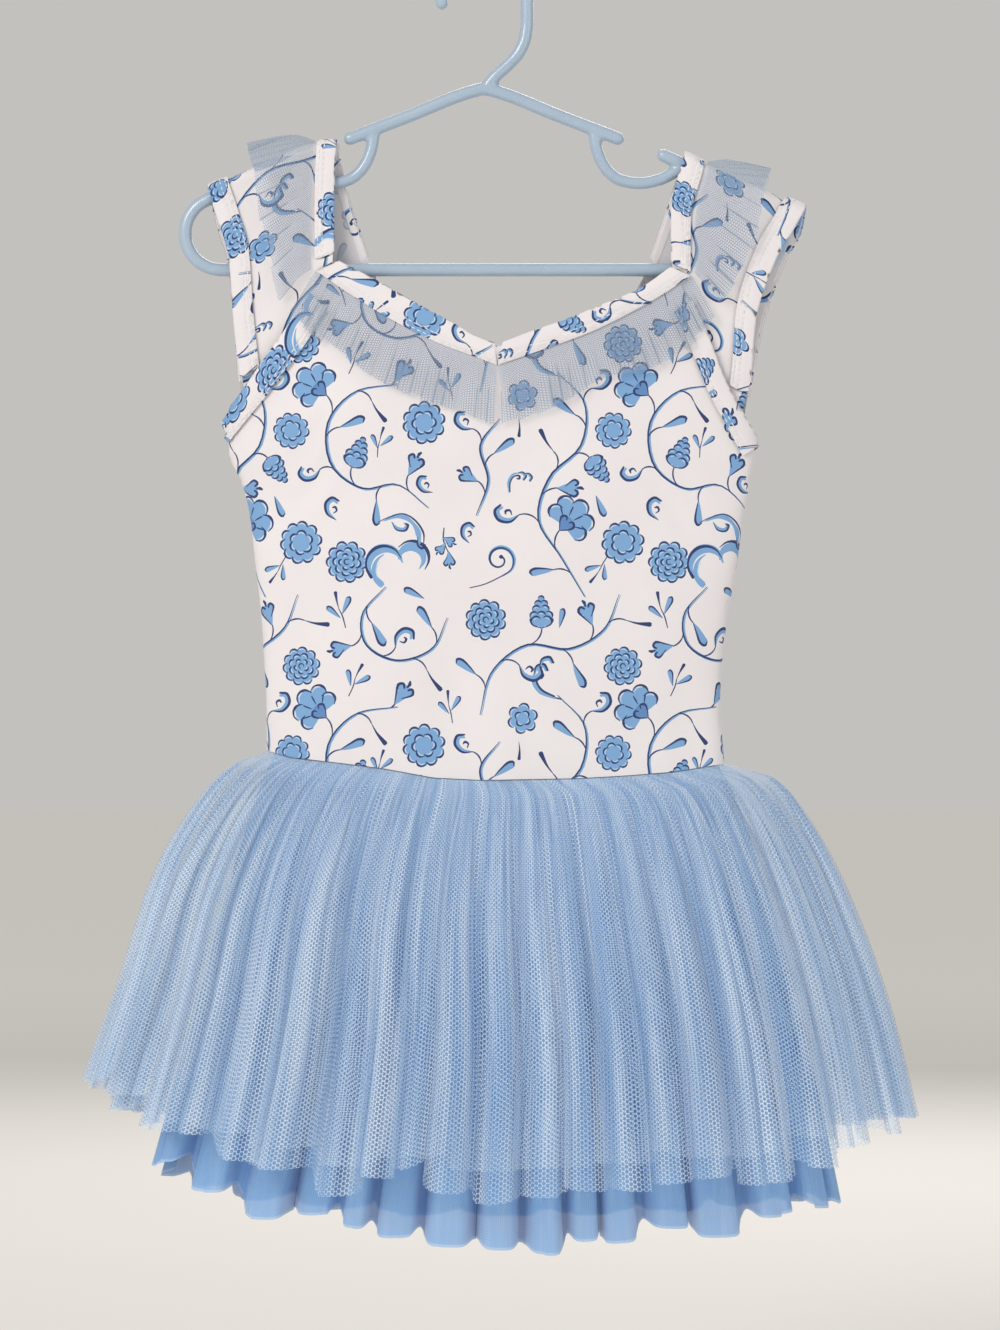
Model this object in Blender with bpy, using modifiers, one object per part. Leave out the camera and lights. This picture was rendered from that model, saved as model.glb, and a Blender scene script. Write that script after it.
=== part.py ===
"""A child's ballet dress on a plastic hanger.

Sizes are in millimetres. +X is to the right of someone who looks at the dress's front, -Y is
the front and +Z is up. The origin is the inside top of the hanger's hook, where a rail holds it.

The upper cloth is drawn flat and then laid in place: x runs across, and t runs up the front
from the shoulder line (t = 0 where the cloth meets the hanger's arm), over the arm, and down
the back.
"""

import math
from collections import namedtuple

import bmesh
import bpy
import numpy as np

MM = 0.001

# Walls and the gaps between them
KNIT_WALL = 1.2
BINDING_WALL = 1.0
TULLE_WALL = 1.0
SEAM_GAP = 0.3
LAYER_GAP = 0.45
SIDE_SEAM = 0.45

# Hanger
TUBE_RADIUS = 3.5
NOTCH_RADIUS = 3.2
HOOK_TUBE_RADIUS = 3.4
HOOK_RADIUS = 22.4
HOOK_DROP = 19.0
HOOK_OPEN_FROM = 200.0
APEX_Z = -67.3
ARM_END = (73.0, -95.0)
STUB = (90.0, -101.0)
ARM_OUT = (141.0, -124.0)
END_RADIUS = 19.0
END_CENTRE = (136.5, -143.0)
NOTCH = ((57.0, -90.6), (58.5, -99.0), (63.0, -109.0), (71.0, -115.4), (81.0, -117.0),
         (91.0, -115.2), (99.5, -111.0), (107.5, -107.6))
NECK_OF_HOOK = ((22.4, -33.0), (21.4, -41.0), (18.4, -48.5), (12.6, -55.2), (6.0, -61.2),
                (0.5, -67.6))
CAP_STEPS = ((0.0, 0.3), (0.8, 0.72), (2.2, 0.95), (3.8, 1.0))

# The strap lies on the hanger's arm, behind the bodice's own surface
STRAP_DEPTH = KNIT_WALL + LAYER_GAP
ARM_CLEARANCE = TUBE_RADIUS + SEAM_GAP + KNIT_WALL / 2
FOLD_RADIUS = ARM_CLEARANCE + STRAP_DEPTH
FOLD_LENGTH = math.pi * FOLD_RADIUS
ARM_SLOPE = (STUB[1] - ARM_OUT[1]) / (ARM_OUT[0] - STUB[0])
FOLD_BLEND = 26.0

# How far each piece's middle lies outside the bodice's
ON_BODICE = KNIT_WALL / 2 + LAYER_GAP + BINDING_WALL / 2
ON_STRAP = ON_BODICE - STRAP_DEPTH
ARMHOLE_LIFT = 0.3

BINDING_WIDTH = 10.4
SEAM_SHOW = 1.0

BodyRow = namedtuple("BodyRow", "z left right front back side fullness")
BODY = (
    BodyRow(-440, -113.0, 126.0, 19.0, 14.0, SIDE_SEAM, 0.42),
    BodyRow(-412, -113.0, 124.5, 19.0, 14.0, SIDE_SEAM, 0.42),
    BodyRow(-388, -113.2, 122.7, 18.5, 14.0, SIDE_SEAM, 0.42),
    BodyRow(-364, -114.4, 124.0, 18.0, 14.0, SIDE_SEAM, 0.42),
    BodyRow(-340, -116.0, 127.0, 18.0, 14.0, SIDE_SEAM, 0.42),
    BodyRow(-318, -118.6, 131.0, 18.0, 14.0, SIDE_SEAM, 0.42),
    BodyRow(-290, -121.7, 135.0, 17.5, 14.0, SIDE_SEAM, 0.42),
    BodyRow(-274, -125.5, 138.0, 17.0, 14.0, SIDE_SEAM, 0.42),
    BodyRow(-257, -132.6, 140.6, 16.5, 13.5, SIDE_SEAM, 0.42),
    BodyRow(-245, -132.4, 140.0, 16.0, 13.0, SIDE_SEAM, 0.45),
    BodyRow(-236, -131.0, 139.6, 15.6, 12.5, 2.4, 0.55),
    BodyRow(-227, -130.0, 139.5, 15.0, 12.0, 4.2, 0.75),
    BodyRow(-197, -129.0, 140.0, 13.0, 11.0, 6.4, 1.0),
    BodyRow(-177, -130.0, 142.0, 11.0, 10.0, 7.2, 1.0),
    BodyRow(-157, -131.5, 151.0, 9.4, 9.0, 7.6, 1.0),
    BodyRow(-137, -137.0, 163.0, 7.4, 7.4, 6.8, 1.0),
    BodyRow(-119, -143.0, 168.0, FOLD_RADIUS, FOLD_RADIUS, FOLD_RADIUS, 1.0),
    BodyRow(-80, -143.0, 168.0, FOLD_RADIUS, FOLD_RADIUS, FOLD_RADIUS, 1.0),
)

# The bodice's edges, left to right: (x, z)
FRONT_EDGE = ((-134, -239.5), (-97.8, -187.2), (-77.4, -158.3), (-57.7, -167.9), (-34.3, -181.4),
              (-17.2, -190.7), (-3.6, -198.5), (7.8, -202.4), (25.5, -195.4), (43.2, -189.2),
              (61.9, -181.4), (80.1, -173.6), (97.6, -161.4), (113.4, -192.4),
              (124.3, -220.6), (141, -250))
FRONT_CORNERS = (-77.4, 7.8, 97.6)
BACK_EDGE = ((-134, -242), (-97.8, -196), (-58, -160), (-51, -184), (-37, -210), (-15, -233),
             (13, -241), (41, -231), (62, -207), (75, -184), (83, -162), (113.4, -200),
             (126, -228), (141, -250))
BACK_CORNERS = (-58, 83)
WAIST = ((-118, -411), (-113, -411.6), (-100, -415.2), (-75, -418), (-51, -421), (-26, -425.6),
         (-2, -426.8), (48, -426), (73, -424.6), (99, -422.6), (124, -418.6), (130, -418))

# Strap edges from the front seam, over the arm, to the back seam
EdgeRow = namedtuple("EdgeRow", "face outer_x outer_z inner_x inner_z")
STRAPS = {
    "left": (
        EdgeRow("front", -123.0, -236, -79.5, -168),
        EdgeRow("front", -126.4, -214, -78.5, -157),
        EdgeRow("front", -129.0, -190, -78.5, -143),
        EdgeRow("front", -131.5, -156, -78.5, -127),
        EdgeRow("front", -137.0, -137, -78.3, -114),
        EdgeRow("top", -143.0, 0, -77.0, 0),
        EdgeRow("back", -139.0, -137, -73.5, -114),
        EdgeRow("back", -133.0, -156, -70.0, -127),
        EdgeRow("back", -129.5, -190, -64.0, -145),
        EdgeRow("back", -127.5, -216, -60.0, -158),
        EdgeRow("back", -125.5, -238, -57.5, -170),
    ),
    "right": (
        EdgeRow("front", 133.0, -244.5, 97.0, -171),
        EdgeRow("front", 137.6, -222, 97.8, -160),
        EdgeRow("front", 140.0, -190, 97.8, -146),
        EdgeRow("front", 150.0, -158, 98.0, -130),
        EdgeRow("front", 161.5, -138, 101.0, -116),
        EdgeRow("top", 167.0, 0, 105.4, 0),
        EdgeRow("back", 165.0, -140, 100.5, -116),
        EdgeRow("back", 156.0, -158, 95.5, -131),
        EdgeRow("back", 145.0, -190, 89.0, -150),
        EdgeRow("back", 138.5, -222, 84.5, -162),
        EdgeRow("back", 135.0, -244, 82.0, -173),
    ),
}

# Where the straps' own bindings start in front and stop behind: (x, z)
BINDING_ENDS = {
    "left": {"inner": ((-78.5, -156.4), (-61.0, -156.5)),
             "outer": ((-128.0, -219.0), (-128.0, -222.0))},
    "right": {"inner": ((98.0, -159.4), (86.5, -158.5)),
              "outer": ((139.0, -229.0), (139.0, -230.0))},
}

# Bindings that lie on the bodice, between an upper and a lower edge: (x, z) of each
StripRow = namedtuple("StripRow", "upper_x upper_z lower_x lower_z")
NECK_LEFT = (
    StripRow(-76.4, -157.0, -86.8, -163.2),
    StripRow(-57.7, -166.7, -69.2, -175.5),
    StripRow(-34.3, -180.2, -46.3, -189.5),
    StripRow(-17.2, -189.5, -22.9, -201.2),
    StripRow(-3.6, -197.3, -3.6, -208.4),
    StripRow(7.6, -201.2, 6.6, -212.4),
)
NECK_RIGHT = (
    StripRow(8.2, -200.8, 7.2, -212.2),
    StripRow(25.5, -194.2, 31.7, -203.8),
    StripRow(43.2, -188.0, 54.6, -195.3),
    StripRow(61.9, -180.2, 78.0, -183.8),
    StripRow(80.1, -172.4, 94.0, -174.5),
    StripRow(97.4, -160.4, 107.0, -165.4),
)
NECK_BACK = (
    StripRow(-55.5, -168.0, -66.0, -171.0),
    StripRow(-49.0, -184.0, -59.0, -188.0),
    StripRow(-35.5, -209.0, -43.0, -217.0),
    StripRow(-14.5, -231.8, -18.0, -242.0),
    StripRow(13.0, -239.8, 13.0, -250.4),
    StripRow(40.5, -229.8, 44.0, -240.0),
    StripRow(60.5, -206.4, 69.0, -213.0),
    StripRow(73.5, -184.0, 84.0, -188.0),
    StripRow(80.5, -170.0, 91.0, -173.0),
)
ARMHOLES = {
    "front_left": (
        StripRow(-130.0, -231.8, -125.2, -243.4),
        StripRow(-116.0, -211.6, -111.5, -226.5),
        StripRow(-97.8, -185.9, -93.5, -202.6),
        StripRow(-90.0, -174.6, -81.5, -183.6),
    ),
    "front_right": (
        StripRow(107.6, -177.0, 98.4, -184.6),
        StripRow(114.4, -191.6, 104.3, -196.6),
        StripRow(125.3, -220.2, 115.6, -224.6),
        StripRow(137.0, -241.6, 127.5, -247.4),
    ),
    "back_left": (
        StripRow(-129.5, -235.4, -123.5, -244.8),
        StripRow(-116.0, -218.0, -109.0, -227.0),
        StripRow(-97.8, -194.8, -89.5, -203.0),
        StripRow(-74.0, -173.4, -69.5, -184.0),
    ),
    "back_right": (
        StripRow(95.0, -176.2, 92.0, -188.0),
        StripRow(113.4, -198.8, 104.0, -204.0),
        StripRow(126.0, -226.8, 116.5, -231.6),
        StripRow(137.0, -246.2, 127.5, -251.4),
    ),
}

# Ruffles: the gathered seam and the raw edge
SEAM_BELOW_BINDING = 1.3
RuffleRow = namedtuple("RuffleRow", "face seam_x seam_z edge_x edge_z")
FRONT_RUFFLE_EDGES = {
    "left": ((-101.5, -184.0), (-76.0, -205.0), (-50.0, -221.5), (-22.0, -234.5),
             (-6.0, -240.0), (5.4, -243.5)),
    "right": ((9.0, -243.0), (36.0, -233.5), (60.0, -220.5), (86.0, -213.0), (104.0, -203.0),
              (119.0, -186.0)),
}
STRAP_RUFFLES = {
    "left": (
        RuffleRow("front", -89.6, -162.0, -104.5, -179.5),
        RuffleRow("front", -89.6, -140.0, -112.0, -152.0),
        RuffleRow("front", -89.4, -122.0, -117.0, -131.0),
        RuffleRow("top", -88.2, 0, -118.0, 0),
        RuffleRow("back", -83.0, -126.0, -113.0, -138.0),
        RuffleRow("back", -74.5, -150.0, -102.0, -168.0),
    ),
    "right": (
        RuffleRow("front", 109.0, -164.0, 122.5, -181.0),
        RuffleRow("front", 109.0, -142.0, 137.5, -154.0),
        RuffleRow("front", 111.0, -124.0, 142.5, -136.0),
        RuffleRow("top", 116.4, 0, 146.0, 0),
        RuffleRow("back", 108.0, -128.0, 137.0, -142.0),
        RuffleRow("back", 101.0, -150.0, 127.0, -166.0),
    ),
}
FRONT_GATHERS = 12
STRAP_GATHERS = 8
GATHER_DEPTH = 1.9
RUFFLE_LIFT = 3.4
SHOULDER_LIFT = 6.5
RUFFLE_POINTS = 3

# Skirt layers: how far down, the outline and the depth, and the folds' share there
SkirtRow = namedtuple("SkirtRow", "down left right front back fold")
NET = (
    SkirtRow(0.00, -112.8, 125.8, 20.6, 16.1, 0.04),
    SkirtRow(0.04, -129.0, 150.0, 29.0, 22.0, 0.14),
    SkirtRow(0.15, -146.5, 166.0, 42.0, 29.0, 0.32),
    SkirtRow(0.38, -168.5, 187.0, 58.0, 38.0, 0.62),
    SkirtRow(0.68, -184.0, 206.0, 69.5, 44.5, 0.86),
    SkirtRow(1.00, -203.0, 220.0, 77.0, 49.0, 1.00),
)
NET_UNDER = (
    SkirtRow(0.00, -110.8, 123.8, 18.7, 14.2, 0.04),
    SkirtRow(0.05, -123.5, 140.0, 24.0, 17.5, 0.14),
    SkirtRow(0.30, -151.0, 169.0, 42.0, 28.0, 0.50),
    SkirtRow(0.62, -169.0, 190.0, 53.0, 33.5, 0.80),
    SkirtRow(1.00, -189.0, 203.0, 61.0, 36.0, 1.00),
)
UNDERSKIRT = (
    SkirtRow(0.00, -108.8, 121.8, 16.8, 12.3, 0.03),
    SkirtRow(0.06, -114.0, 128.5, 19.5, 14.2, 0.12),
    SkirtRow(0.26, -127.0, 143.0, 28.0, 18.5, 0.40),
    SkirtRow(0.50, -140.0, 157.0, 36.0, 22.0, 0.66),
    SkirtRow(0.76, -155.0, 171.0, 42.0, 25.0, 0.88),
    SkirtRow(1.00, -169.0, 182.0, 46.0, 27.0, 1.00),
)
WAIST_DROP = 1.0
FoldRow = namedtuple("FoldRow", "x hem depth")
NET_FOLDS = (
    FoldRow(-197, -580, 3.2), FoldRow(-184, -589, 4.0), FoldRow(-163, -605, 5.0),
    FoldRow(-147, -607, 4.2), FoldRow(-130, -620, 5.2), FoldRow(-101, -624, 6.6),
    FoldRow(-78, -636, 6.0), FoldRow(-57, -626, 4.8), FoldRow(-39, -624, 4.6),
    FoldRow(-17, -635, 5.6), FoldRow(7, -640, 6.2), FoldRow(29, -637, 4.8),
    FoldRow(51, -634, 5.0), FoldRow(73, -634, 5.4), FoldRow(94, -631, 4.8),
    FoldRow(119, -628, 6.0), FoldRow(146, -631, 6.4), FoldRow(173, -623, 5.4),
    FoldRow(191, -614, 4.2), FoldRow(206, -608, 3.6), FoldRow(216, -602, 3.0),
)
NET_UNDER_FOLDS = (
    FoldRow(-183, -596, 2.6), FoldRow(-162, -603, 3.4), FoldRow(-136, -606, 4.0),
    FoldRow(-104, -614, 4.4), FoldRow(-70, -622, 4.6), FoldRow(-36, -618, 4.4),
    FoldRow(0, -626, 4.6), FoldRow(36, -624, 4.4), FoldRow(72, -622, 4.6),
    FoldRow(108, -618, 4.4), FoldRow(142, -618, 4.0), FoldRow(170, -610, 3.4),
    FoldRow(192, -600, 2.6),
)
UNDERSKIRT_FLUTES = (
    FoldRow(-163, -625, 3.0), FoldRow(-141, -638, 4.4), FoldRow(-111, -651, 5.0),
    FoldRow(-85, -649, 4.6), FoldRow(-66, -655, 4.4), FoldRow(-44, -660, 4.6),
    FoldRow(-17, -665, 5.0), FoldRow(8, -667, 5.0), FoldRow(32, -669, 5.0),
    FoldRow(51, -662, 4.2), FoldRow(71, -663, 4.4), FoldRow(95, -656, 5.0),
    FoldRow(119, -662, 4.6), FoldRow(148, -651, 5.0), FoldRow(174, -647, 3.2),
)
NET_BACK_FOLDS = 17
NET_UNDER_BACK_FOLDS = 11
UNDERSKIRT_BACK_FLUTES = 13
BACK_FOLD_DEPTH = 0.75
POINTS_PER_FOLD = 4
FOLD_STEPS = 8
RING_FULLNESS = 0.86


def smooth_read(xs, ys, at):
    """Reads the smooth curve through the points (xs, ys), which never overshoots them."""
    xs, ys = np.asarray(xs, float), np.asarray(ys, float)
    gaps = np.diff(xs)
    rises = np.diff(ys) / gaps
    slopes = np.concatenate([rises[:1], np.zeros(len(xs) - 2), rises[-1:]])
    together = np.flatnonzero(rises[1:] * rises[:-1] > 0)
    before, after = rises[together], rises[together + 1]
    slopes[together + 1] = 2 * before * after / (before + after)
    at = np.clip(at, xs[0], xs[-1])
    i = np.clip(np.searchsorted(xs, at, side="right") - 1, 0, len(gaps) - 1)
    s = (at - xs[i]) / gaps[i]
    start = ys[i] * (1 + 2 * s) * (1 - s) ** 2 + slopes[i] * gaps[i] * s * (1 - s) ** 2
    end = ys[i + 1] * s**2 * (3 - 2 * s) + slopes[i + 1] * gaps[i] * s**2 * (s - 1)
    return start + end


def column(rows, name, at, key):
    """One named column of a table, read smoothly where its key column is at."""
    keys = [getattr(row, key) for row in rows]
    return smooth_read(keys, [getattr(row, name) for row in rows], at)


def eased(share):
    share = np.clip(share, 0, 1)
    return share * share * (3 - 2 * share)


def shoulder(x):
    """The height of the middle of the hanger's outer arm, or of the strap's fold beyond it."""
    rounding = 2.0
    past = np.abs(x) - STUB[0] - rounding
    return STUB[1] - ARM_SLOPE * rounding * np.logaddexp(0, past / rounding)


def depth(x, z, face):
    """How far the cloth stands from the hanger's plane at (x, z)."""
    left, right = column(BODY, "left", z, "z"), column(BODY, "right", z, "z")
    across = np.clip(np.abs(2 * x - left - right) / (right - left), 0, 1)
    crown = (1 - across**2) ** column(BODY, "fullness", z, "z")
    side = column(BODY, "side", z, "z")
    body = side + (column(BODY, face, z, "z") - side) * crown
    return FOLD_RADIUS + (body - FOLD_RADIUS) * eased((shoulder(x) - z) / FOLD_BLEND)


def cloth_point(x, t):
    """The point of the cloth at (x, t), on the surface that the bodice's panels follow."""
    x, t = np.broadcast_arrays(np.asarray(x, float), np.asarray(t, float))
    top = shoulder(x)
    turn = np.clip(t, 0, FOLD_LENGTH) / FOLD_RADIUS
    tilt = math.hypot(1, ARM_SLOPE)
    down = np.where(t > FOLD_LENGTH, t - FOLD_LENGTH, np.minimum(t, 0) * -1)
    z = top + FOLD_RADIUS * tilt * np.sin(turn) - down
    out = np.where(t > FOLD_LENGTH, depth(x, z, "back"), -depth(x, z, "front"))
    y = np.where((t >= 0) & (t <= FOLD_LENGTH), -FOLD_RADIUS * np.cos(turn), out)
    return np.stack([x, y, z], axis=-1)


def laid(x, t, out):
    """The point that lies out millimetres outside the cloth at (x, t)."""
    step = 0.5
    across = cloth_point(np.add(x, step), t) - cloth_point(np.subtract(x, step), t)
    along = cloth_point(x, np.add(t, step)) - cloth_point(x, np.subtract(t, step))
    normal = np.cross(across, along)
    normal /= np.linalg.norm(normal, axis=-1, keepdims=True)
    return cloth_point(x, t) + normal * np.asarray(out)[..., None]


def along_cloth(face, x, z):
    """t for a point given by its face and height."""
    if face == "front":
        return z - float(shoulder(x))
    if face == "top":
        return FOLD_LENGTH / 2
    return FOLD_LENGTH + float(shoulder(x)) - z


def flat_edges(rows, names):
    """Two edges of a piece in the flat, each as rows of (x, t)."""
    edges = []
    for x_name, z_name in names:
        edge = [(getattr(row, x_name),
                 along_cloth(row.face, getattr(row, x_name), getattr(row, z_name)))
                for row in rows]
        edges.append(np.array(edge, float))
    return edges


def resampled(line, count):
    """The smooth line through these points, at count places evenly spaced along it."""
    line = np.asarray(line, float)
    length = np.concatenate([[0], np.cumsum(np.linalg.norm(np.diff(line, axis=0), axis=1))])
    at = np.linspace(0, length[-1], count)
    return np.stack([smooth_read(length, line[:, k], at) for k in range(line.shape[1])], axis=1)


def ruled(first, second, along, across):
    """A grid of flat points between two edges: (along, across, 2)."""
    first, second = resampled(first, along), resampled(second, along)
    share = np.linspace(0, 1, across)[None, :, None]
    return first[:, None] * (1 - share) + second[:, None] * share


def over_arm(line, front, back):
    """The line's points where it is read for a piece that goes over the arm, closer on the fold."""
    line = np.asarray(line, float)
    stops = np.concatenate([np.linspace(line[0, 1], 0, front + 1)[:-1],
                            np.linspace(0, FOLD_LENGTH, FOLD_STEPS + 1)[:-1],
                            np.linspace(FOLD_LENGTH, line[-1, 1], back + 1)])
    return np.stack([smooth_read(line[:, 1], line[:, 0], stops), stops], axis=1)


def ruled_over_arm(first, second, front, back, across):
    """A grid of flat points between two edges that go over the hanger's arm."""
    share = np.linspace(0, 1, across)[None, :, None]
    first, second = over_arm(first, front, back), over_arm(second, front, back)
    return first[:, None] * (1 - share) + second[:, None] * share


def strip_edges(rows):
    upper = np.array([(row.upper_x, row.upper_z) for row in rows], float)
    lower = np.array([(row.lower_x, row.lower_z) for row in rows], float)
    return upper, lower


def material(name, colour, roughness):
    made = bpy.data.materials.new(name)
    made.use_nodes = True
    shader = made.node_tree.nodes["Principled BSDF"]
    shader.inputs["Base Color"].default_value = (*colour, 1)
    shader.inputs["Roughness"].default_value = roughness
    shader.inputs["Metallic"].default_value = 0
    return made


def sheet_object(name, grid, wall, finish, ring=False):
    """A cloth wall whose middle is this grid of points in millimetres."""
    rows, columns = grid.shape[:2]
    mesh = bmesh.new()
    points = [[mesh.verts.new(point) for point in row] for row in grid * MM]
    for r in range(rows - 1):
        for c in range(columns if ring else columns - 1):
            a, b = points[r][c], points[r][(c + 1) % columns]
            d, e = points[r + 1][c], points[r + 1][(c + 1) % columns]
            mesh.faces.new((a, b, e))
            mesh.faces.new((a, e, d))
    data = bpy.data.meshes.new(name)
    mesh.to_mesh(data)
    mesh.free()
    data.shade_smooth()
    made = bpy.data.objects.new(name, data)
    PARTS.objects.link(made)
    data.materials.append(finish)
    solid = made.modifiers.new("Cloth thickness", "SOLIDIFY")
    solid.thickness = wall * MM
    solid.offset = 0
    solid.use_even_offset = True
    return made


def tube_object(name, points, radius, finish, collection, capped_start=False, capped_end=False):
    """A round tube through these points, its capped ends domed."""
    points = [np.array(point, float) for point in points]
    sizes = [1.0] * len(points)
    if capped_start:
        points, sizes = domed(points, sizes)
    if capped_end:
        points, sizes = domed(points[::-1], sizes[::-1])
        points, sizes = points[::-1], sizes[::-1]
    curve = bpy.data.curves.new(name + "_line", "CURVE")
    curve.dimensions = "3D"
    curve.bevel_depth = radius * MM
    curve.bevel_resolution = 2
    curve.use_fill_caps = True
    spline = curve.splines.new("POLY")
    spline.points.add(len(points) - 1)
    for place, point, size in zip(spline.points, points, sizes):
        place.co = (*(point * MM), 1)
        place.radius = size
    line = bpy.data.objects.new(name + "_line", curve)
    collection.objects.link(line)
    bpy.context.view_layer.update()
    graph = bpy.context.evaluated_depsgraph_get()
    data = bpy.data.meshes.new_from_object(line.evaluated_get(graph))
    data.name = name
    mesh = bmesh.new()
    mesh.from_mesh(data)
    bmesh.ops.remove_doubles(mesh, verts=mesh.verts, dist=0.01 * MM)
    bmesh.ops.recalc_face_normals(mesh, faces=mesh.faces)
    mesh.to_mesh(data)
    mesh.free()
    made = bpy.data.objects.new(name, data)
    made.matrix_world = line.matrix_world
    collection.objects.link(made)
    data.materials.clear()
    data.materials.append(finish)
    bpy.data.objects.remove(line)
    return made


def domed(points, sizes):
    """The same line with a rounded start: each cap step is (distance in, share of radius)."""
    way = (points[1] - points[0]) / np.linalg.norm(points[1] - points[0])
    steps = [points[0] + way * distance for distance, _ in CAP_STEPS]
    return steps + points[1:], [size for _, size in CAP_STEPS] + sizes[1:]


def in_plane(pairs, side=1):
    """Points of the hanger's plane from (x, z), mirrored where side is -1."""
    return [(side * x, 0.0, z) for x, z in pairs]


def arc(centre, radius, start, end, steps):
    """(x, z) along an arc, its angles in degrees from +X towards +Z."""
    angles = np.radians(np.linspace(start, end, steps))
    return [(centre[0] + radius * math.cos(a), centre[1] + radius * math.sin(a)) for a in angles]


def make_hanger():
    finish = material("hanger_plastic", (0.36, 0.48, 0.62), 0.25)
    turn = arc(END_CENTRE, END_RADIUS, 66, -90, 8)
    half = [STUB, (107.0, -108.7), (126.0, -117.2)] + turn
    loop = in_plane(half) + in_plane(half[::-1], -1)
    hanger = tube_object("hanger", loop, TUBE_RADIUS, finish, PARTS, True, True)
    hanger.data.shade_smooth()
    arms = [(-ARM_END[0], ARM_END[1]), (-6.0, APEX_Z - 1.6), (0.0, APEX_Z),
            (6.0, APEX_Z - 1.6), ARM_END]
    hook = arc((0.0, -HOOK_DROP), HOOK_RADIUS, HOOK_OPEN_FROM, 0, 13) + list(NECK_OF_HOOK)
    tools = [
        tube_object("hanger_notch_right", in_plane(NOTCH), NOTCH_RADIUS, finish, CUTTERS),
        tube_object("hanger_notch_left", in_plane(NOTCH, -1), NOTCH_RADIUS, finish, CUTTERS),
        tube_object("hanger_arms", in_plane(arms), TUBE_RADIUS, finish, CUTTERS, True, True),
        tube_object("hanger_hook", in_plane(hook), HOOK_TUBE_RADIUS, finish, CUTTERS, True),
    ]
    for tool in tools:
        tool.hide_render = True
        tool.display_type = "WIRE"
        union = hanger.modifiers.new("Join " + tool.name, "BOOLEAN")
        union.operation = "UNION"
        union.solver = "EXACT"
        union.object = tool
    return hanger


def edge_height(edge, x):
    return np.interp(x, [p[0] for p in edge], [p[1] for p in edge])


def waist_height(x):
    return np.interp(x, [p[0] for p in WAIST], [p[1] for p in WAIST])


def outline_x(angle, z):
    left, right = column(BODY, "left", z, "z"), column(BODY, "right", z, "z")
    return (left + right) / 2 + (right - left) / 2 * math.sin(angle)


def meeting_height(angle, height_at):
    """Where a column of the bodice at this angle meets a curve of heights."""
    z = float(height_at(outline_x(angle, -230.0)))
    for _ in range(60):
        z += 0.4 * (float(height_at(outline_x(angle, z))) - z)
    return z


def column_angles(edge, corners, counts):
    """Angles across the bodice, with one column on each of its corners."""
    stops = [-math.pi / 2]
    for x in corners:
        z = float(edge_height(edge, x))
        left, right = column(BODY, "left", z, "z"), column(BODY, "right", z, "z")
        stops.append(math.asin((2 * x - left - right) / (right - left)))
    stops.append(math.pi / 2)
    angles = [stops[0]]
    for start, end, count in zip(stops, stops[1:], counts):
        angles += list(np.linspace(start, end, count + 1)[1:])
    return angles


def make_bodice(name, face, edge, corners, counts, rows, finish):
    grid = np.zeros((rows, sum(counts) + 1, 3))
    for c, angle in enumerate(column_angles(edge, corners, counts)):
        low = meeting_height(angle, waist_height)
        high = meeting_height(angle, lambda x: edge_height(edge, x))
        for r, z in enumerate(np.linspace(low, high, rows)):
            x = outline_x(angle, z)
            y = float(depth(x, z, face))
            grid[r, c] = (x, -y if face == "front" else y, z)
    return sheet_object(name, grid, KNIT_WALL, finish)


def make_strap(side, finish):
    outer, inner = flat_edges(STRAPS[side], (("outer_x", "outer_z"), ("inner_x", "inner_z")))
    flat = ruled_over_arm(outer, inner, 6, 6, 7)
    sheet_object("strap_" + side, laid(flat[..., 0], flat[..., 1], -STRAP_DEPTH),
                 KNIT_WALL, finish)


def make_edge_binding(name, side, which, finish):
    """The binding on one edge of a strap, from the front seam to the back seam."""
    outer, inner = flat_edges(STRAPS[side], (("outer_x", "outer_z"), ("inner_x", "inner_z")))
    line, other = (inner, outer) if which == "inner" else (outer, inner)
    inward = np.sign(other[0, 0] - line[0, 0])
    ends = BINDING_ENDS[side][which]
    stops = np.array([along_cloth("front", *ends[0]), *line[1:-1, 1],
                      along_cloth("back", *ends[1])])
    stops = np.array([stop for stop in stops if stops[0] <= stop <= stops[-1]])
    edge_x = smooth_read(line[:, 1], line[:, 0], stops) - SEAM_SHOW * inward
    slope = np.gradient(edge_x, stops)
    width = BINDING_WIDTH * inward / np.hypot(1, slope)
    edge = np.stack([edge_x, stops], axis=1)
    seam = np.stack([edge_x + width, stops - width * slope], axis=1)
    flat = ruled_over_arm(edge, seam, 6, 6, 2)
    sheet_object(name, laid(flat[..., 0], flat[..., 1], ON_STRAP), BINDING_WALL, finish)


def make_strip(name, face, rows, count, across, out, finish):
    """A binding that lies on the bodice's front or back."""
    upper, lower = strip_edges(rows)
    flat = ruled(upper, lower, count, across)
    x, z = flat[..., 0], flat[..., 1]
    t = z - shoulder(x) if face == "front" else FOLD_LENGTH + shoulder(x) - z
    sheet_object(name, laid(x, t, out), BINDING_WALL, finish)


def make_ruffle(name, flat, first_out, finish):
    """Tulle gathered along its seam, its waves growing towards the raw edge."""
    count, across = flat.shape[:2]
    share = np.linspace(0, 1, across)[None, :]
    phase = np.arange(count)[:, None] * 2 * math.pi / POINTS_PER_FOLD
    wave = GATHER_DEPTH * eased(share * 1.4) * (1 - np.cos(phase)) / 2
    fold = np.clip(1 - np.abs(flat[..., 1] - FOLD_LENGTH / 2) / (3 * FOLD_LENGTH), 0, 1)
    lift = (RUFFLE_LIFT - first_out) * eased(share * 3) + SHOULDER_LIFT * eased(fold) * share
    sheet_object(name, laid(flat[..., 0], flat[..., 1], first_out + lift + wave),
                 TULLE_WALL, finish)


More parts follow.
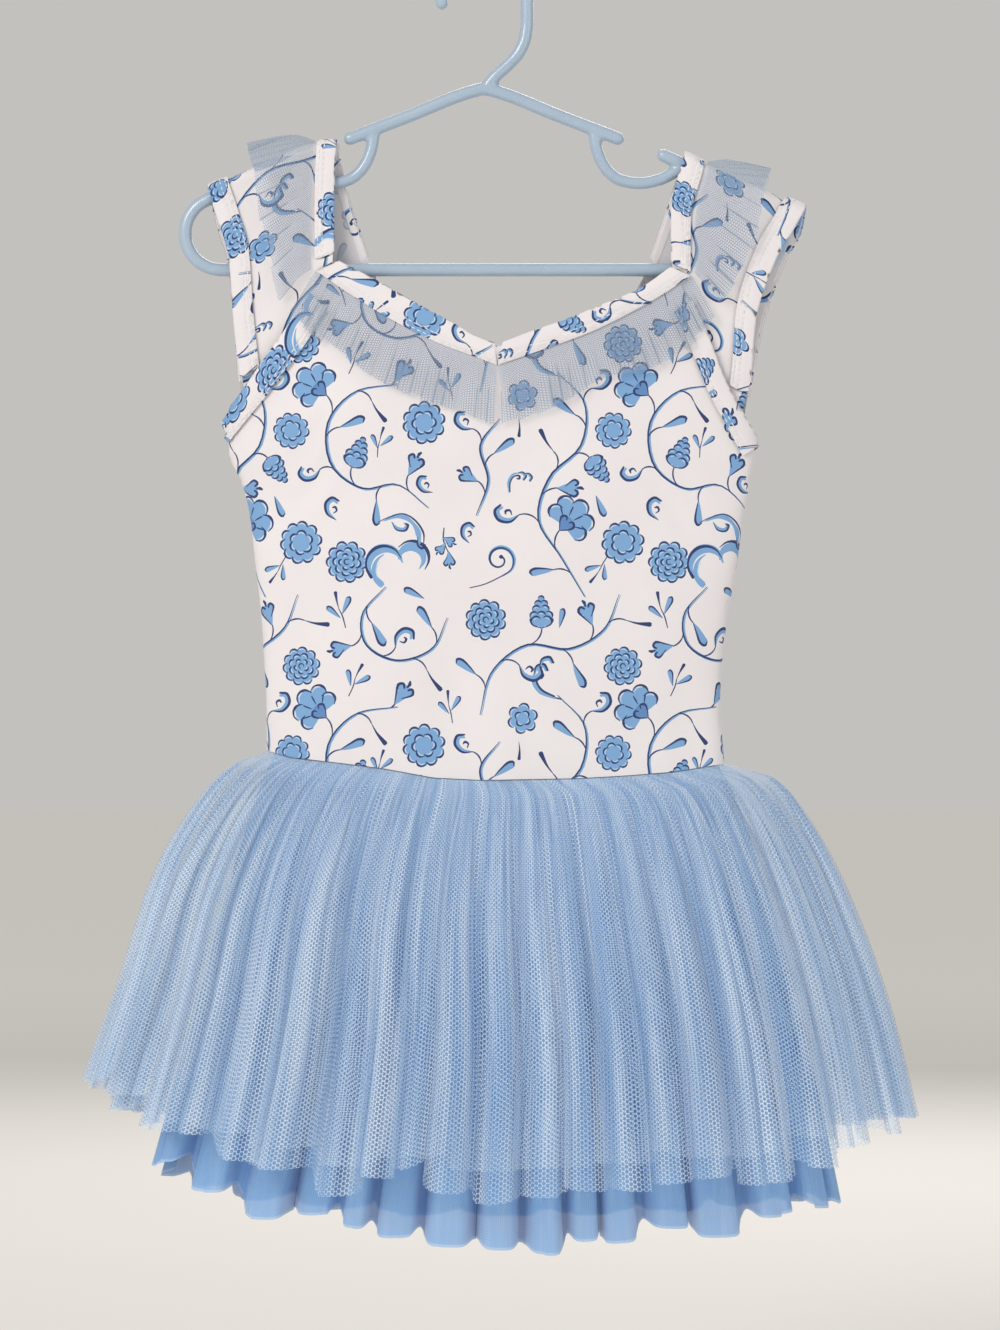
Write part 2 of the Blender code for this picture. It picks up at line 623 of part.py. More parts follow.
def make_ruffles(side, finish):
    upper, lower = strip_edges({"left": NECK_LEFT, "right": NECK_RIGHT}[side])
    away = (lower - upper) / np.linalg.norm(lower - upper, axis=1, keepdims=True)
    seam = lower + away * SEAM_BELOW_BINDING
    edge = np.array(FRONT_RUFFLE_EDGES[side], float)
    flat = ruled(seam, edge, FRONT_GATHERS * POINTS_PER_FOLD + 1, RUFFLE_POINTS)
    flat[..., 1] -= shoulder(flat[..., 0])
    make_ruffle("ruffle_front_" + side, flat, ON_BODICE + 0.2, finish)
    seam, edge = flat_edges(STRAP_RUFFLES[side], (("seam_x", "seam_z"), ("edge_x", "edge_z")))
    stops = (STRAP_GATHERS * POINTS_PER_FOLD - FOLD_STEPS) // 2
    flat = ruled_over_arm(seam, edge, stops, stops, RUFFLE_POINTS)
    make_ruffle("ruffle_strap_" + side, flat, ON_STRAP + 0.2, finish)


def fold_angles(folds, row, back_count):
    """Fold crests round the skirt: (angle, hem height, depth) of each."""
    middle, half = (row.left + row.right) / 2, (row.right - row.left) / 2
    crests = [(math.asin((fold.x - middle) / half), fold.hem, fold.depth) for fold in folds]
    first, last = crests[0], crests[-1]
    span = 2 * math.pi - (last[0] - first[0])
    mean_depth = BACK_FOLD_DEPTH * sum(fold.depth for fold in folds) / len(folds)
    lowest = min(fold.hem for fold in folds)
    for k in range(1, back_count + 1):
        share = k / (back_count + 1)
        drop = eased(1 - abs(2 * share - 1))
        side_hem = last[1] + (first[1] - last[1]) * share
        hem = side_hem + (lowest + 12 - side_hem) * float(drop)
        crests.append((last[0] + span * share, hem, mean_depth))
    return crests


def ring_point(angle, left, right, front, back):
    """A point of a skirt's ring, and its outward direction in plan."""
    def place(a):
        side = math.cos(a)
        reach = front if side > 0 else back
        return np.array([(left + right) / 2 + (right - left) / 2 * math.sin(a),
                         -math.copysign(reach * abs(side) ** RING_FULLNESS, side)])
    way = place(angle + 0.02) - place(angle - 0.02)
    outward = np.array([way[1], -way[0]])
    return place(angle), outward / np.linalg.norm(outward)


def make_skirt(name, rows, folds, back_count, finish):
    crests = fold_angles(folds, rows[-1], back_count)
    angles, hems, depths, waves = [], [], [], []
    for crest, following in zip(crests, crests[1:] + crests[:1]):
        width = (following[0] - crest[0]) % (2 * math.pi)
        for k in range(POINTS_PER_FOLD):
            share = k / POINTS_PER_FOLD
            angles.append(crest[0] + width * share)
            hems.append(crest[1] + (following[1] - crest[1]) * share)
            depths.append(crest[2] + (following[2] - crest[2]) * share)
            waves.append(math.cos(2 * math.pi * share))
    grid = np.zeros((len(rows), len(angles), 3))
    for r, row in enumerate(rows):
        for c, angle in enumerate(angles):
            place, outward = ring_point(angle, row.left, row.right, row.front, row.back)
            x, y = place + outward * depths[c] * waves[c] * row.fold
            waist_x, _ = ring_point(angle, rows[0].left, rows[0].right, 1, 1)[0]
            top = float(waist_height(waist_x)) - WAIST_DROP
            grid[r, c] = (x, y, top + (hems[c] - top) * row.down)
    sheet_object(name, grid, TULLE_WALL, finish, ring=True)


for old in list(bpy.data.objects):
    bpy.data.objects.remove(old)
PARTS = bpy.data.collections.new("ballet_dress_on_hanger")
CUTTERS = bpy.data.collections.new("hanger_joining_tubes")
bpy.context.scene.collection.children.link(PARTS)
bpy.context.scene.collection.children.link(CUTTERS)

PRINT = material("printed_knit", (0.72, 0.76, 0.84), 0.85)
BOUND = material("bound_edge", (0.62, 0.68, 0.8), 0.85)
SHEER = material("sheer_tulle", (0.42, 0.52, 0.66), 0.8)
STIFF_NET = material("stiff_net", (0.38, 0.58, 0.82), 0.75)
SOFT_TULLE = material("soft_tulle", (0.26, 0.46, 0.76), 0.75)

make_hanger()
make_bodice("bodice_front", "front", FRONT_EDGE, FRONT_CORNERS, (6, 6, 6, 6), 11, PRINT)
make_bodice("bodice_back", "back", BACK_EDGE, BACK_CORNERS, (5, 9, 5), 9, PRINT)
for this_side in ("left", "right"):
    make_strap(this_side, PRINT)
    make_edge_binding("strap_binding_" + this_side, this_side, "inner", BOUND)
    make_edge_binding("sleeve_binding_" + this_side, this_side, "outer", BOUND)
make_strip("neck_binding_left", "front", NECK_LEFT, 9, 2, ON_BODICE, BOUND)
make_strip("neck_binding_right", "front", NECK_RIGHT, 9, 2, ON_BODICE, BOUND)
make_strip("neck_binding_back", "back", NECK_BACK, 15, 2, ON_BODICE, BOUND)
for place, strip_rows in ARMHOLES.items():
    make_strip("armhole_binding_" + place, place.split("_")[0], strip_rows, 11, 3,
               ON_BODICE + ARMHOLE_LIFT, BOUND)
for this_side in ("left", "right"):
    make_ruffles(this_side, SHEER)
make_skirt("skirt_net", NET, NET_FOLDS, NET_BACK_FOLDS, STIFF_NET)
make_skirt("skirt_net_under", NET_UNDER, NET_UNDER_FOLDS, NET_UNDER_BACK_FOLDS, STIFF_NET)
make_skirt("underskirt", UNDERSKIRT, UNDERSKIRT_FLUTES, UNDERSKIRT_BACK_FLUTES, SOFT_TULLE)
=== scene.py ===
"""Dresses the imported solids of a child's ballet dress on a plastic hanger for rendering.

Cloth is worked out in millimetres, in the frame of the solids: +X to the right of someone who
looks at the front, -Y the front, +Z up, and the origin at the inside top of the hanger's hook.
The upper cloth is drawn flat and then laid in place: x runs across, and t runs up the front from
where the cloth meets the hanger's arm (t = 0), over the arm, and down the back.
"""

import math
from collections import namedtuple

import bmesh
import bpy
import numpy as np
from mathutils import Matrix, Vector
from mathutils.geometry import delaunay_2d_cdt


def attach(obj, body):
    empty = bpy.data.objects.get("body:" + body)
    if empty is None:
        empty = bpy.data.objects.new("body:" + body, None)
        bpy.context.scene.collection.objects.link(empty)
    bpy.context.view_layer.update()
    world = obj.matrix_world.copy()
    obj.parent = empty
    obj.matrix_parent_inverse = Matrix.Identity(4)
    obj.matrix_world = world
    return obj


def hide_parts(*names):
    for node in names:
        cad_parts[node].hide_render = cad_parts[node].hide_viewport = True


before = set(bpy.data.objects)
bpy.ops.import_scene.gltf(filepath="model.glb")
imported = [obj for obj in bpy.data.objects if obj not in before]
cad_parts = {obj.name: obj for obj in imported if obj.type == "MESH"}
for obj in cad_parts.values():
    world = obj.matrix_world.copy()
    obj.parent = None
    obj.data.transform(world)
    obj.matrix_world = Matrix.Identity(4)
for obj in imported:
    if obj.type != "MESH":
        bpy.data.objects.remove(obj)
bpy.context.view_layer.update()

MM = 0.001

# The cut and the lie of the cloth, as in the solids

KNIT_WALL = 0.7
EDGE_WALL = 0.5
SOLID_KNIT_WALL = 1.2
SOLID_BINDING_WALL = 1.0
SEAM_GAP = 0.3
LAYER_GAP = 0.45
SIDE_SEAM = 0.4

TUBE_RADIUS = 3.5
NOTCH_RADIUS = 3.2
HOOK_TUBE_RADIUS = 3.4
HOOK_RADIUS = 22.4
HOOK_DROP = 19.0
HOOK_OPEN_FROM = 200.0
APEX_Z = -67.3
ARM_END = (73.0, -95.0)
STUB = (90.0, -101.0)
ARM_OUT = (141.0, -124.0)
END_RADIUS = 19.0
END_CENTRE = (136.5, -143.0)
NOTCH = ((57.0, -90.6), (58.5, -99.0), (63.0, -109.0), (71.0, -115.4), (81.0, -117.0),
         (91.0, -115.2), (99.5, -111.0), (107.5, -107.6))
NECK_OF_HOOK = ((22.4, -33.0), (21.4, -41.0), (18.4, -48.5), (12.6, -55.2), (6.0, -61.2),
                (0.5, -67.6))

STRAP_DEPTH = SOLID_KNIT_WALL + LAYER_GAP
FOLD_RADIUS = TUBE_RADIUS + SEAM_GAP + SOLID_KNIT_WALL / 2 + STRAP_DEPTH
FOLD_LENGTH = math.pi * FOLD_RADIUS
ARM_SLOPE = (STUB[1] - ARM_OUT[1]) / (ARM_OUT[0] - STUB[0])
FOLD_BLEND = 26.0
SHOULDER_ROUNDING = 2.0
ON_BODICE = SOLID_KNIT_WALL / 2 + LAYER_GAP + SOLID_BINDING_WALL / 2
ON_STRAP = ON_BODICE - STRAP_DEPTH
ARMHOLE_LIFT = 0.3
BINDING_WIDTH = 10.4
SEAM_SHOW = 1.0

BodyRow = namedtuple("BodyRow", "z left right front back side fullness")
BODY = (
    BodyRow(-440, -113.0, 126.0, 19.0, 14.0, SIDE_SEAM, 0.42),
    BodyRow(-412, -113.0, 124.5, 19.0, 14.0, SIDE_SEAM, 0.42),
    BodyRow(-388, -113.2, 122.7, 18.5, 14.0, SIDE_SEAM, 0.42),
    BodyRow(-364, -114.4, 124.0, 18.0, 14.0, SIDE_SEAM, 0.42),
    BodyRow(-340, -116.0, 127.0, 18.0, 14.0, SIDE_SEAM, 0.42),
    BodyRow(-318, -118.6, 131.0, 18.0, 14.0, SIDE_SEAM, 0.42),
    BodyRow(-290, -121.7, 135.0, 17.5, 14.0, SIDE_SEAM, 0.42),
    BodyRow(-274, -125.5, 138.0, 17.0, 14.0, SIDE_SEAM, 0.42),
    BodyRow(-257, -132.6, 140.6, 16.5, 13.5, SIDE_SEAM, 0.42),
    BodyRow(-245, -132.4, 140.0, 16.0, 13.0, SIDE_SEAM, 0.45),
    BodyRow(-236, -131.0, 139.6, 15.6, 12.5, 2.4, 0.55),
    BodyRow(-227, -130.0, 139.5, 15.0, 12.0, 4.2, 0.75),
    BodyRow(-197, -129.0, 140.0, 13.0, 11.0, 6.4, 1.0),
    BodyRow(-177, -130.0, 142.0, 11.0, 10.0, 7.2, 1.0),
    BodyRow(-157, -131.5, 151.0, 9.4, 9.0, 7.6, 1.0),
    BodyRow(-137, -137.0, 163.0, 7.4, 7.4, 6.8, 1.0),
    BodyRow(-119, -143.0, 168.0, FOLD_RADIUS, FOLD_RADIUS, FOLD_RADIUS, 1.0),
    BodyRow(-80, -143.0, 168.0, FOLD_RADIUS, FOLD_RADIUS, FOLD_RADIUS, 1.0),
)

# The bodice's edges, left to right: (x, z)
FRONT_EDGE = ((-134, -239.5), (-97.8, -187.2), (-77.4, -158.3), (-57.7, -167.9), (-34.3, -181.4),
              (-17.2, -190.7), (-3.6, -198.5), (7.8, -202.4), (25.5, -195.4), (43.2, -189.2),
              (61.9, -181.4), (80.1, -173.6), (97.6, -161.4), (113.4, -192.4),
              (124.3, -220.6), (141, -250))
BACK_EDGE = ((-134, -242), (-97.8, -196), (-58, -160), (-51, -184), (-37, -210), (-15, -233),
             (13, -241), (41, -231), (62, -207), (75, -184), (83, -162), (113.4, -200),
             (126, -228), (141, -250))
WAIST = ((-118, -411), (-113, -411.6), (-100, -415.2), (-75, -418), (-51, -421), (-26, -425.6),
         (-2, -426.8), (48, -426), (73, -424.6), (99, -422.6), (124, -418.6), (130, -418))

# Strap edges from the front seam, over the arm, to the back seam
EdgeRow = namedtuple("EdgeRow", "face outer_x outer_z inner_x inner_z")
STRAPS = {
    "left": (
        EdgeRow("front", -123.0, -236, -79.5, -168),
        EdgeRow("front", -126.4, -214, -78.5, -157),
        EdgeRow("front", -129.0, -190, -78.5, -143),
        EdgeRow("front", -131.5, -156, -78.5, -127),
        EdgeRow("front", -137.0, -137, -78.3, -114),
        EdgeRow("top", -143.0, 0, -77.0, 0),
        EdgeRow("back", -139.0, -137, -73.5, -114),
        EdgeRow("back", -133.0, -156, -70.0, -127),
        EdgeRow("back", -129.5, -190, -64.0, -145),
        EdgeRow("back", -127.5, -216, -60.0, -158),
        EdgeRow("back", -125.5, -238, -57.5, -170),
    ),
    "right": (
        EdgeRow("front", 133.0, -244.5, 97.0, -171),
        EdgeRow("front", 137.6, -222, 97.8, -160),
        EdgeRow("front", 140.0, -190, 97.8, -146),
        EdgeRow("front", 150.0, -158, 98.0, -130),
        EdgeRow("front", 161.5, -138, 101.0, -116),
        EdgeRow("top", 167.0, 0, 105.4, 0),
        EdgeRow("back", 165.0, -140, 100.5, -116),
        EdgeRow("back", 156.0, -158, 95.5, -131),
        EdgeRow("back", 145.0, -190, 89.0, -150),
        EdgeRow("back", 138.5, -222, 84.5, -162),
        EdgeRow("back", 135.0, -244, 82.0, -173),
    ),
}

# Where the straps' own bindings start in front and stop behind: (x, z)
BINDING_ENDS = {
    "left": {"inner": ((-78.5, -156.4), (-61.0, -156.5)),
             "outer": ((-128.0, -219.0), (-128.0, -222.0))},
    "right": {"inner": ((98.0, -159.4), (86.5, -158.5)),
              "outer": ((139.0, -229.0), (139.0, -230.0))},
}

# Bindings that lie on the bodice, between an upper and a lower edge: (x, z) of each
StripRow = namedtuple("StripRow", "upper_x upper_z lower_x lower_z")
NECK_LEFT = (
    StripRow(-76.4, -157.0, -86.8, -163.2),
    StripRow(-57.7, -166.7, -69.2, -175.5),
    StripRow(-34.3, -180.2, -46.3, -189.5),
    StripRow(-17.2, -189.5, -22.9, -201.2),
    StripRow(-3.6, -197.3, -3.6, -208.4),
    StripRow(7.6, -201.2, 6.6, -212.4),
)
NECK_RIGHT = (
    StripRow(8.2, -200.8, 7.2, -212.2),
    StripRow(25.5, -194.2, 31.7, -203.8),
    StripRow(43.2, -188.0, 54.6, -195.3),
    StripRow(61.9, -180.2, 78.0, -183.8),
    StripRow(80.1, -172.4, 94.0, -174.5),
    StripRow(97.4, -160.4, 107.0, -165.4),
)
NECK_BACK = (
    StripRow(-55.5, -168.0, -66.0, -171.0),
    StripRow(-49.0, -184.0, -59.0, -188.0),
    StripRow(-35.5, -209.0, -43.0, -217.0),
    StripRow(-14.5, -231.8, -18.0, -242.0),
    StripRow(13.0, -239.8, 13.0, -250.4),
    StripRow(40.5, -229.8, 44.0, -240.0),
    StripRow(60.5, -206.4, 69.0, -213.0),
    StripRow(73.5, -184.0, 84.0, -188.0),
    StripRow(80.5, -170.0, 91.0, -173.0),
)

# The bound armholes. The rows past the underarm, first on the left and last on the right, are
# short tabs that the solids leave out.
ARMHOLES = {
    "front_left": (
        StripRow(-136.5, -240.5, -131.8, -252.0),
        StripRow(-130.0, -231.8, -125.2, -243.4),
        StripRow(-116.0, -211.6, -111.5, -226.5),
        StripRow(-97.8, -185.9, -93.5, -202.6),
        StripRow(-90.0, -174.6, -81.5, -183.6),
    ),
    "front_right": (
        StripRow(107.6, -177.0, 98.4, -184.6),
        StripRow(114.4, -191.6, 104.3, -196.6),
        StripRow(125.3, -220.2, 115.6, -224.6),
        StripRow(137.0, -241.6, 127.5, -247.4),
        StripRow(142.8, -252.1, 133.5, -259.0),
    ),
    "back_left": (
        StripRow(-136.5, -242.5, -131.0, -253.5),
        StripRow(-129.5, -235.4, -123.5, -244.8),
        StripRow(-116.0, -218.0, -109.0, -227.0),
        StripRow(-97.8, -194.8, -89.5, -203.0),
        StripRow(-74.0, -173.4, -69.5, -184.0),
    ),
    "back_right": (
        StripRow(95.0, -176.2, 92.0, -188.0),
        StripRow(113.4, -198.8, 104.0, -204.0),
        StripRow(126.0, -226.8, 116.5, -231.6),
        StripRow(137.0, -246.2, 127.5, -251.4),
        StripRow(142.5, -254.5, 133.5, -261.0),
    ),
}

# Ruffles: the gathered seam and the raw edge
SEAM_BELOW_BINDING = 0.4
RuffleRow = namedtuple("RuffleRow", "face seam_x seam_z edge_x edge_z")
FRONT_RUFFLE_EDGES = {
    "left": ((-101.5, -184.0), (-76.0, -205.0), (-50.0, -221.5), (-22.0, -234.5),
             (-6.0, -240.0), (5.4, -243.5)),
    "right": ((9.0, -243.0), (36.0, -233.5), (60.0, -220.5), (86.0, -213.0), (104.0, -203.0),
              (119.0, -186.0)),
}
STRAP_RUFFLES = {
    "left": (
        RuffleRow("front", -89.6, -162.0, -104.5, -179.5),
        RuffleRow("front", -89.6, -140.0, -112.0, -152.0),
        RuffleRow("front", -89.4, -122.0, -117.0, -131.0),
        RuffleRow("top", -88.2, 0, -118.0, 0),
        RuffleRow("back", -83.0, -126.0, -113.0, -138.0),
        RuffleRow("back", -74.5, -150.0, -102.0, -168.0),
    ),
    "right": (
        RuffleRow("front", 109.0, -164.0, 122.5, -181.0),
        RuffleRow("front", 109.0, -142.0, 137.5, -154.0),
        RuffleRow("front", 111.0, -124.0, 142.5, -136.0),
        RuffleRow("top", 116.4, 0, 146.0, 0),
        RuffleRow("back", 108.0, -128.0, 137.0, -142.0),
        RuffleRow("back", 101.0, -150.0, 127.0, -166.0),
    ),
}
RUFFLE_LIFT = 3.0
SHOULDER_LIFT = 6.5

# Skirt layers: how far down, the outline and the depth, and the folds' share there
SkirtRow = namedtuple("SkirtRow", "down left right front back fold")
NET = (
    SkirtRow(0.00, -112.8, 125.8, 20.6, 16.1, 0.04),
    SkirtRow(0.04, -129.0, 150.0, 29.0, 22.0, 0.14),
    SkirtRow(0.15, -146.5, 166.0, 42.0, 29.0, 0.32),
    SkirtRow(0.38, -168.5, 187.0, 58.0, 38.0, 0.62),
    SkirtRow(0.68, -184.0, 206.0, 69.5, 44.5, 0.86),
    SkirtRow(1.00, -203.0, 220.0, 77.0, 49.0, 1.00),
)
NET_UNDER = (
    SkirtRow(0.00, -110.8, 123.8, 18.7, 14.2, 0.04),
    SkirtRow(0.05, -123.5, 140.0, 24.0, 17.5, 0.14),
    SkirtRow(0.30, -151.0, 169.0, 42.0, 28.0, 0.50),
    SkirtRow(0.62, -169.0, 190.0, 53.0, 33.5, 0.80),
    SkirtRow(1.00, -189.0, 203.0, 61.0, 36.0, 1.00),
)
UNDERSKIRT = (
    SkirtRow(0.00, -108.8, 121.8, 16.8, 12.3, 0.03),
    SkirtRow(0.06, -114.0, 128.5, 19.5, 14.2, 0.12),
    SkirtRow(0.26, -127.0, 143.0, 28.0, 18.5, 0.40),
    SkirtRow(0.50, -140.0, 157.0, 36.0, 22.0, 0.66),
    SkirtRow(0.76, -155.0, 171.0, 42.0, 25.0, 0.88),
    SkirtRow(1.00, -169.0, 182.0, 46.0, 27.0, 1.00),
)
WAIST_DROP = 0.4
FoldRow = namedtuple("FoldRow", "x hem depth")
NET_FOLDS = (
    FoldRow(-197, -580, 3.2), FoldRow(-184, -589, 4.0), FoldRow(-163, -605, 5.0),
    FoldRow(-147, -607, 4.2), FoldRow(-130, -620, 5.2), FoldRow(-101, -624, 6.6),
    FoldRow(-78, -636, 6.0), FoldRow(-57, -626, 4.8), FoldRow(-39, -624, 4.6),
    FoldRow(-17, -635, 5.6), FoldRow(7, -640, 6.2), FoldRow(29, -637, 4.8),
    FoldRow(51, -634, 5.0), FoldRow(73, -634, 5.4), FoldRow(94, -631, 4.8),
    FoldRow(119, -628, 6.0), FoldRow(146, -631, 6.4), FoldRow(173, -623, 5.4),
    FoldRow(191, -614, 4.2), FoldRow(206, -608, 3.6), FoldRow(216, -602, 3.0),
)
NET_UNDER_FOLDS = (
    FoldRow(-183, -596, 2.6), FoldRow(-162, -603, 3.4), FoldRow(-136, -606, 4.0),
    FoldRow(-104, -614, 4.4), FoldRow(-70, -622, 4.6), FoldRow(-36, -618, 4.4),
    FoldRow(0, -626, 4.6), FoldRow(36, -624, 4.4), FoldRow(72, -622, 4.6),
    FoldRow(108, -618, 4.4), FoldRow(142, -618, 4.0), FoldRow(170, -610, 3.4),
    FoldRow(192, -600, 2.6),
)
UNDERSKIRT_FLUTES = (
    FoldRow(-163, -625, 3.0), FoldRow(-141, -638, 4.4), FoldRow(-111, -651, 5.0),
    FoldRow(-85, -649, 4.6), FoldRow(-66, -655, 4.4), FoldRow(-44, -660, 4.6),
    FoldRow(-17, -665, 5.0), FoldRow(8, -667, 5.0), FoldRow(32, -669, 5.0),
    FoldRow(51, -662, 4.2), FoldRow(71, -663, 4.4), FoldRow(95, -656, 5.0),
    FoldRow(119, -662, 4.6), FoldRow(148, -651, 5.0), FoldRow(174, -647, 3.2),
)
NET_BACK_FOLDS = 17
NET_UNDER_BACK_FOLDS = 11
UNDERSKIRT_BACK_FLUTES = 13
BACK_FOLD_DEPTH = 0.75
RING_FULLNESS = 0.86

# Reading the tables


def smooth_read(xs, ys, at):
    """Reads the smooth curve through the points (xs, ys), which never overshoots them."""
    xs, ys = np.asarray(xs, float), np.asarray(ys, float)
    gaps = np.diff(xs)
    rises = np.diff(ys) / gaps
    slopes = np.concatenate([rises[:1], np.zeros(len(xs) - 2), rises[-1:]])
    together = np.flatnonzero(rises[1:] * rises[:-1] > 0)
    before, after = rises[together], rises[together + 1]
    slopes[together + 1] = 2 * before * after / (before + after)
    at = np.clip(at, xs[0], xs[-1])
    i = np.clip(np.searchsorted(xs, at, side="right") - 1, 0, len(gaps) - 1)
    s = (at - xs[i]) / gaps[i]
    start = ys[i] * (1 + 2 * s) * (1 - s) ** 2 + slopes[i] * gaps[i] * s * (1 - s) ** 2
    end = ys[i + 1] * s**2 * (3 - 2 * s) + slopes[i + 1] * gaps[i] * s**2 * (s - 1)
    return start + end


def column(rows, name, at, key):
    """One named column of a table, read smoothly where its key column is at."""
    keys = [getattr(row, key) for row in rows]
    return smooth_read(keys, [getattr(row, name) for row in rows], at)


def eased(share):
    share = np.clip(share, 0, 1)
    return share * share * (3 - 2 * share)


def shoulder(x):
    """The height of the middle of the hanger's outer arm, or of the strap's fold beyond it."""
    past = np.abs(x) - STUB[0] - SHOULDER_ROUNDING
    return STUB[1] - ARM_SLOPE * SHOULDER_ROUNDING * np.logaddexp(0, past / SHOULDER_ROUNDING)


def depth(x, z, face):
    """How far the cloth stands from the hanger's plane at (x, z)."""
    left, right = column(BODY, "left", z, "z"), column(BODY, "right", z, "z")
    across = np.clip(np.abs(2 * x - left - right) / (right - left), 0, 1)
    crown = (1 - across**2) ** column(BODY, "fullness", z, "z")
    side = column(BODY, "side", z, "z")
    body = side + (column(BODY, face, z, "z") - side) * crown
    return FOLD_RADIUS + (body - FOLD_RADIUS) * eased((shoulder(x) - z) / FOLD_BLEND)


def cloth_point(x, t):
    """The point of the cloth at (x, t), on the surface that the bodice's panels follow."""
    x, t = np.broadcast_arrays(np.asarray(x, float), np.asarray(t, float))
    top = shoulder(x)
    turn = np.clip(t, 0, FOLD_LENGTH) / FOLD_RADIUS
    tilt = math.hypot(1, ARM_SLOPE)
    down = np.where(t > FOLD_LENGTH, t - FOLD_LENGTH, np.minimum(t, 0) * -1)
    z = top + FOLD_RADIUS * tilt * np.sin(turn) - down
    out = np.where(t > FOLD_LENGTH, depth(x, z, "back"), -depth(x, z, "front"))
    y = np.where((t >= 0) & (t <= FOLD_LENGTH), -FOLD_RADIUS * np.cos(turn), out)
    return np.stack([x, y, z], axis=-1)


SLOPE_STEP = 0.5


def laid(x, t, out):
    """The point that lies out millimetres outside the cloth at (x, t)."""
    across = cloth_point(x + SLOPE_STEP, t) - cloth_point(x - SLOPE_STEP, t)
    along = cloth_point(x, t + SLOPE_STEP) - cloth_point(x, t - SLOPE_STEP)
    normal = np.cross(across, along)
    normal /= np.linalg.norm(normal, axis=-1, keepdims=True)
    return cloth_point(x, t) + normal * np.asarray(out)[..., None]


def along_cloth(face, x, z):
    """t for a point given by its face and height."""
    if face == "front":
        return z - shoulder(x)
    if face == "top":
        return FOLD_LENGTH / 2
    return FOLD_LENGTH + shoulder(x) - z


def flat_edge(rows, x_name, z_name):
    """One edge of a piece in the flat, as rows of (x, t)."""
    edge = []
    for row in rows:
        x = getattr(row, x_name)
        edge.append((x, float(along_cloth(row.face, x, getattr(row, z_name)))))
    return np.array(edge, float)


def lengths_along(line):
    """The distance of each point of a line from its start, along the line."""
    steps = np.linalg.norm(np.diff(line, axis=0), axis=1)
    return np.concatenate([[0], np.cumsum(steps)])


def resampled(line, count):
    """The smooth line through these points, at count places evenly spaced along it."""
    line = np.asarray(line, float)
    length = lengths_along(line)
    at = np.linspace(0, length[-1], count)
    return np.stack([smooth_read(length, line[:, k], at) for k in range(line.shape[1])], axis=1)


def waist_height(x):
    return np.interp(x, [p[0] for p in WAIST], [p[1] for p in WAIST])


# Uneven waves, the same on every run


def uneven(at, spacing, seed):
    """A smooth uneven wave from -1 to 1 over distances, changing about every spacing."""
    at = np.asarray(at, float) / spacing
    picks = np.random.default_rng(seed).uniform(-1, 1, 512)
    whole = np.floor(at).astype(int)
    share = eased(at - whole)
    return picks[whole % 512] * (1 - share) + picks[(whole + 1) % 512] * share


def uneven_round(turn, count, seed):
    """The same round a closed ring: turn runs from 0 to 1, with count changes on the way."""
    picks = np.random.default_rng(seed).uniform(-1, 1, count)
    at = np.asarray(turn, float) * count
    whole = np.floor(at).astype(int)
    share = eased(at - whole)
    return picks[whole % count] * (1 - share) + picks[(whole + 1) % count] * share


def stepped(at, seed):
    """One uneven pick from -1 to 1 for each whole number."""
    picks = np.random.default_rng(seed).uniform(-1, 1, 512)
    return picks[np.floor(at).astype(int) % 512]


# Finishes


class Value:
    """A shader socket that takes part in sums: each operation adds its Math node."""

    def __init__(self, finish, socket):
        self.finish = finish
        self.socket = socket

    def maths(self, operation, first, second=0.0):
        return self.finish.node("ShaderNodeMath", {"operation": operation}, {0: first, 1: second})

    def __add__(self, other):
        return self.maths("ADD", self, other)

    def __sub__(self, other):
        return self.maths("SUBTRACT", self, other)

    def __rsub__(self, other):
        return self.maths("SUBTRACT", other, self)

    def __mul__(self, other):
        return self.maths("MULTIPLY", self, other)

    def __lt__(self, other):
        return self.maths("LESS_THAN", self, other)

    __radd__ = __add__
    __rmul__ = __mul__


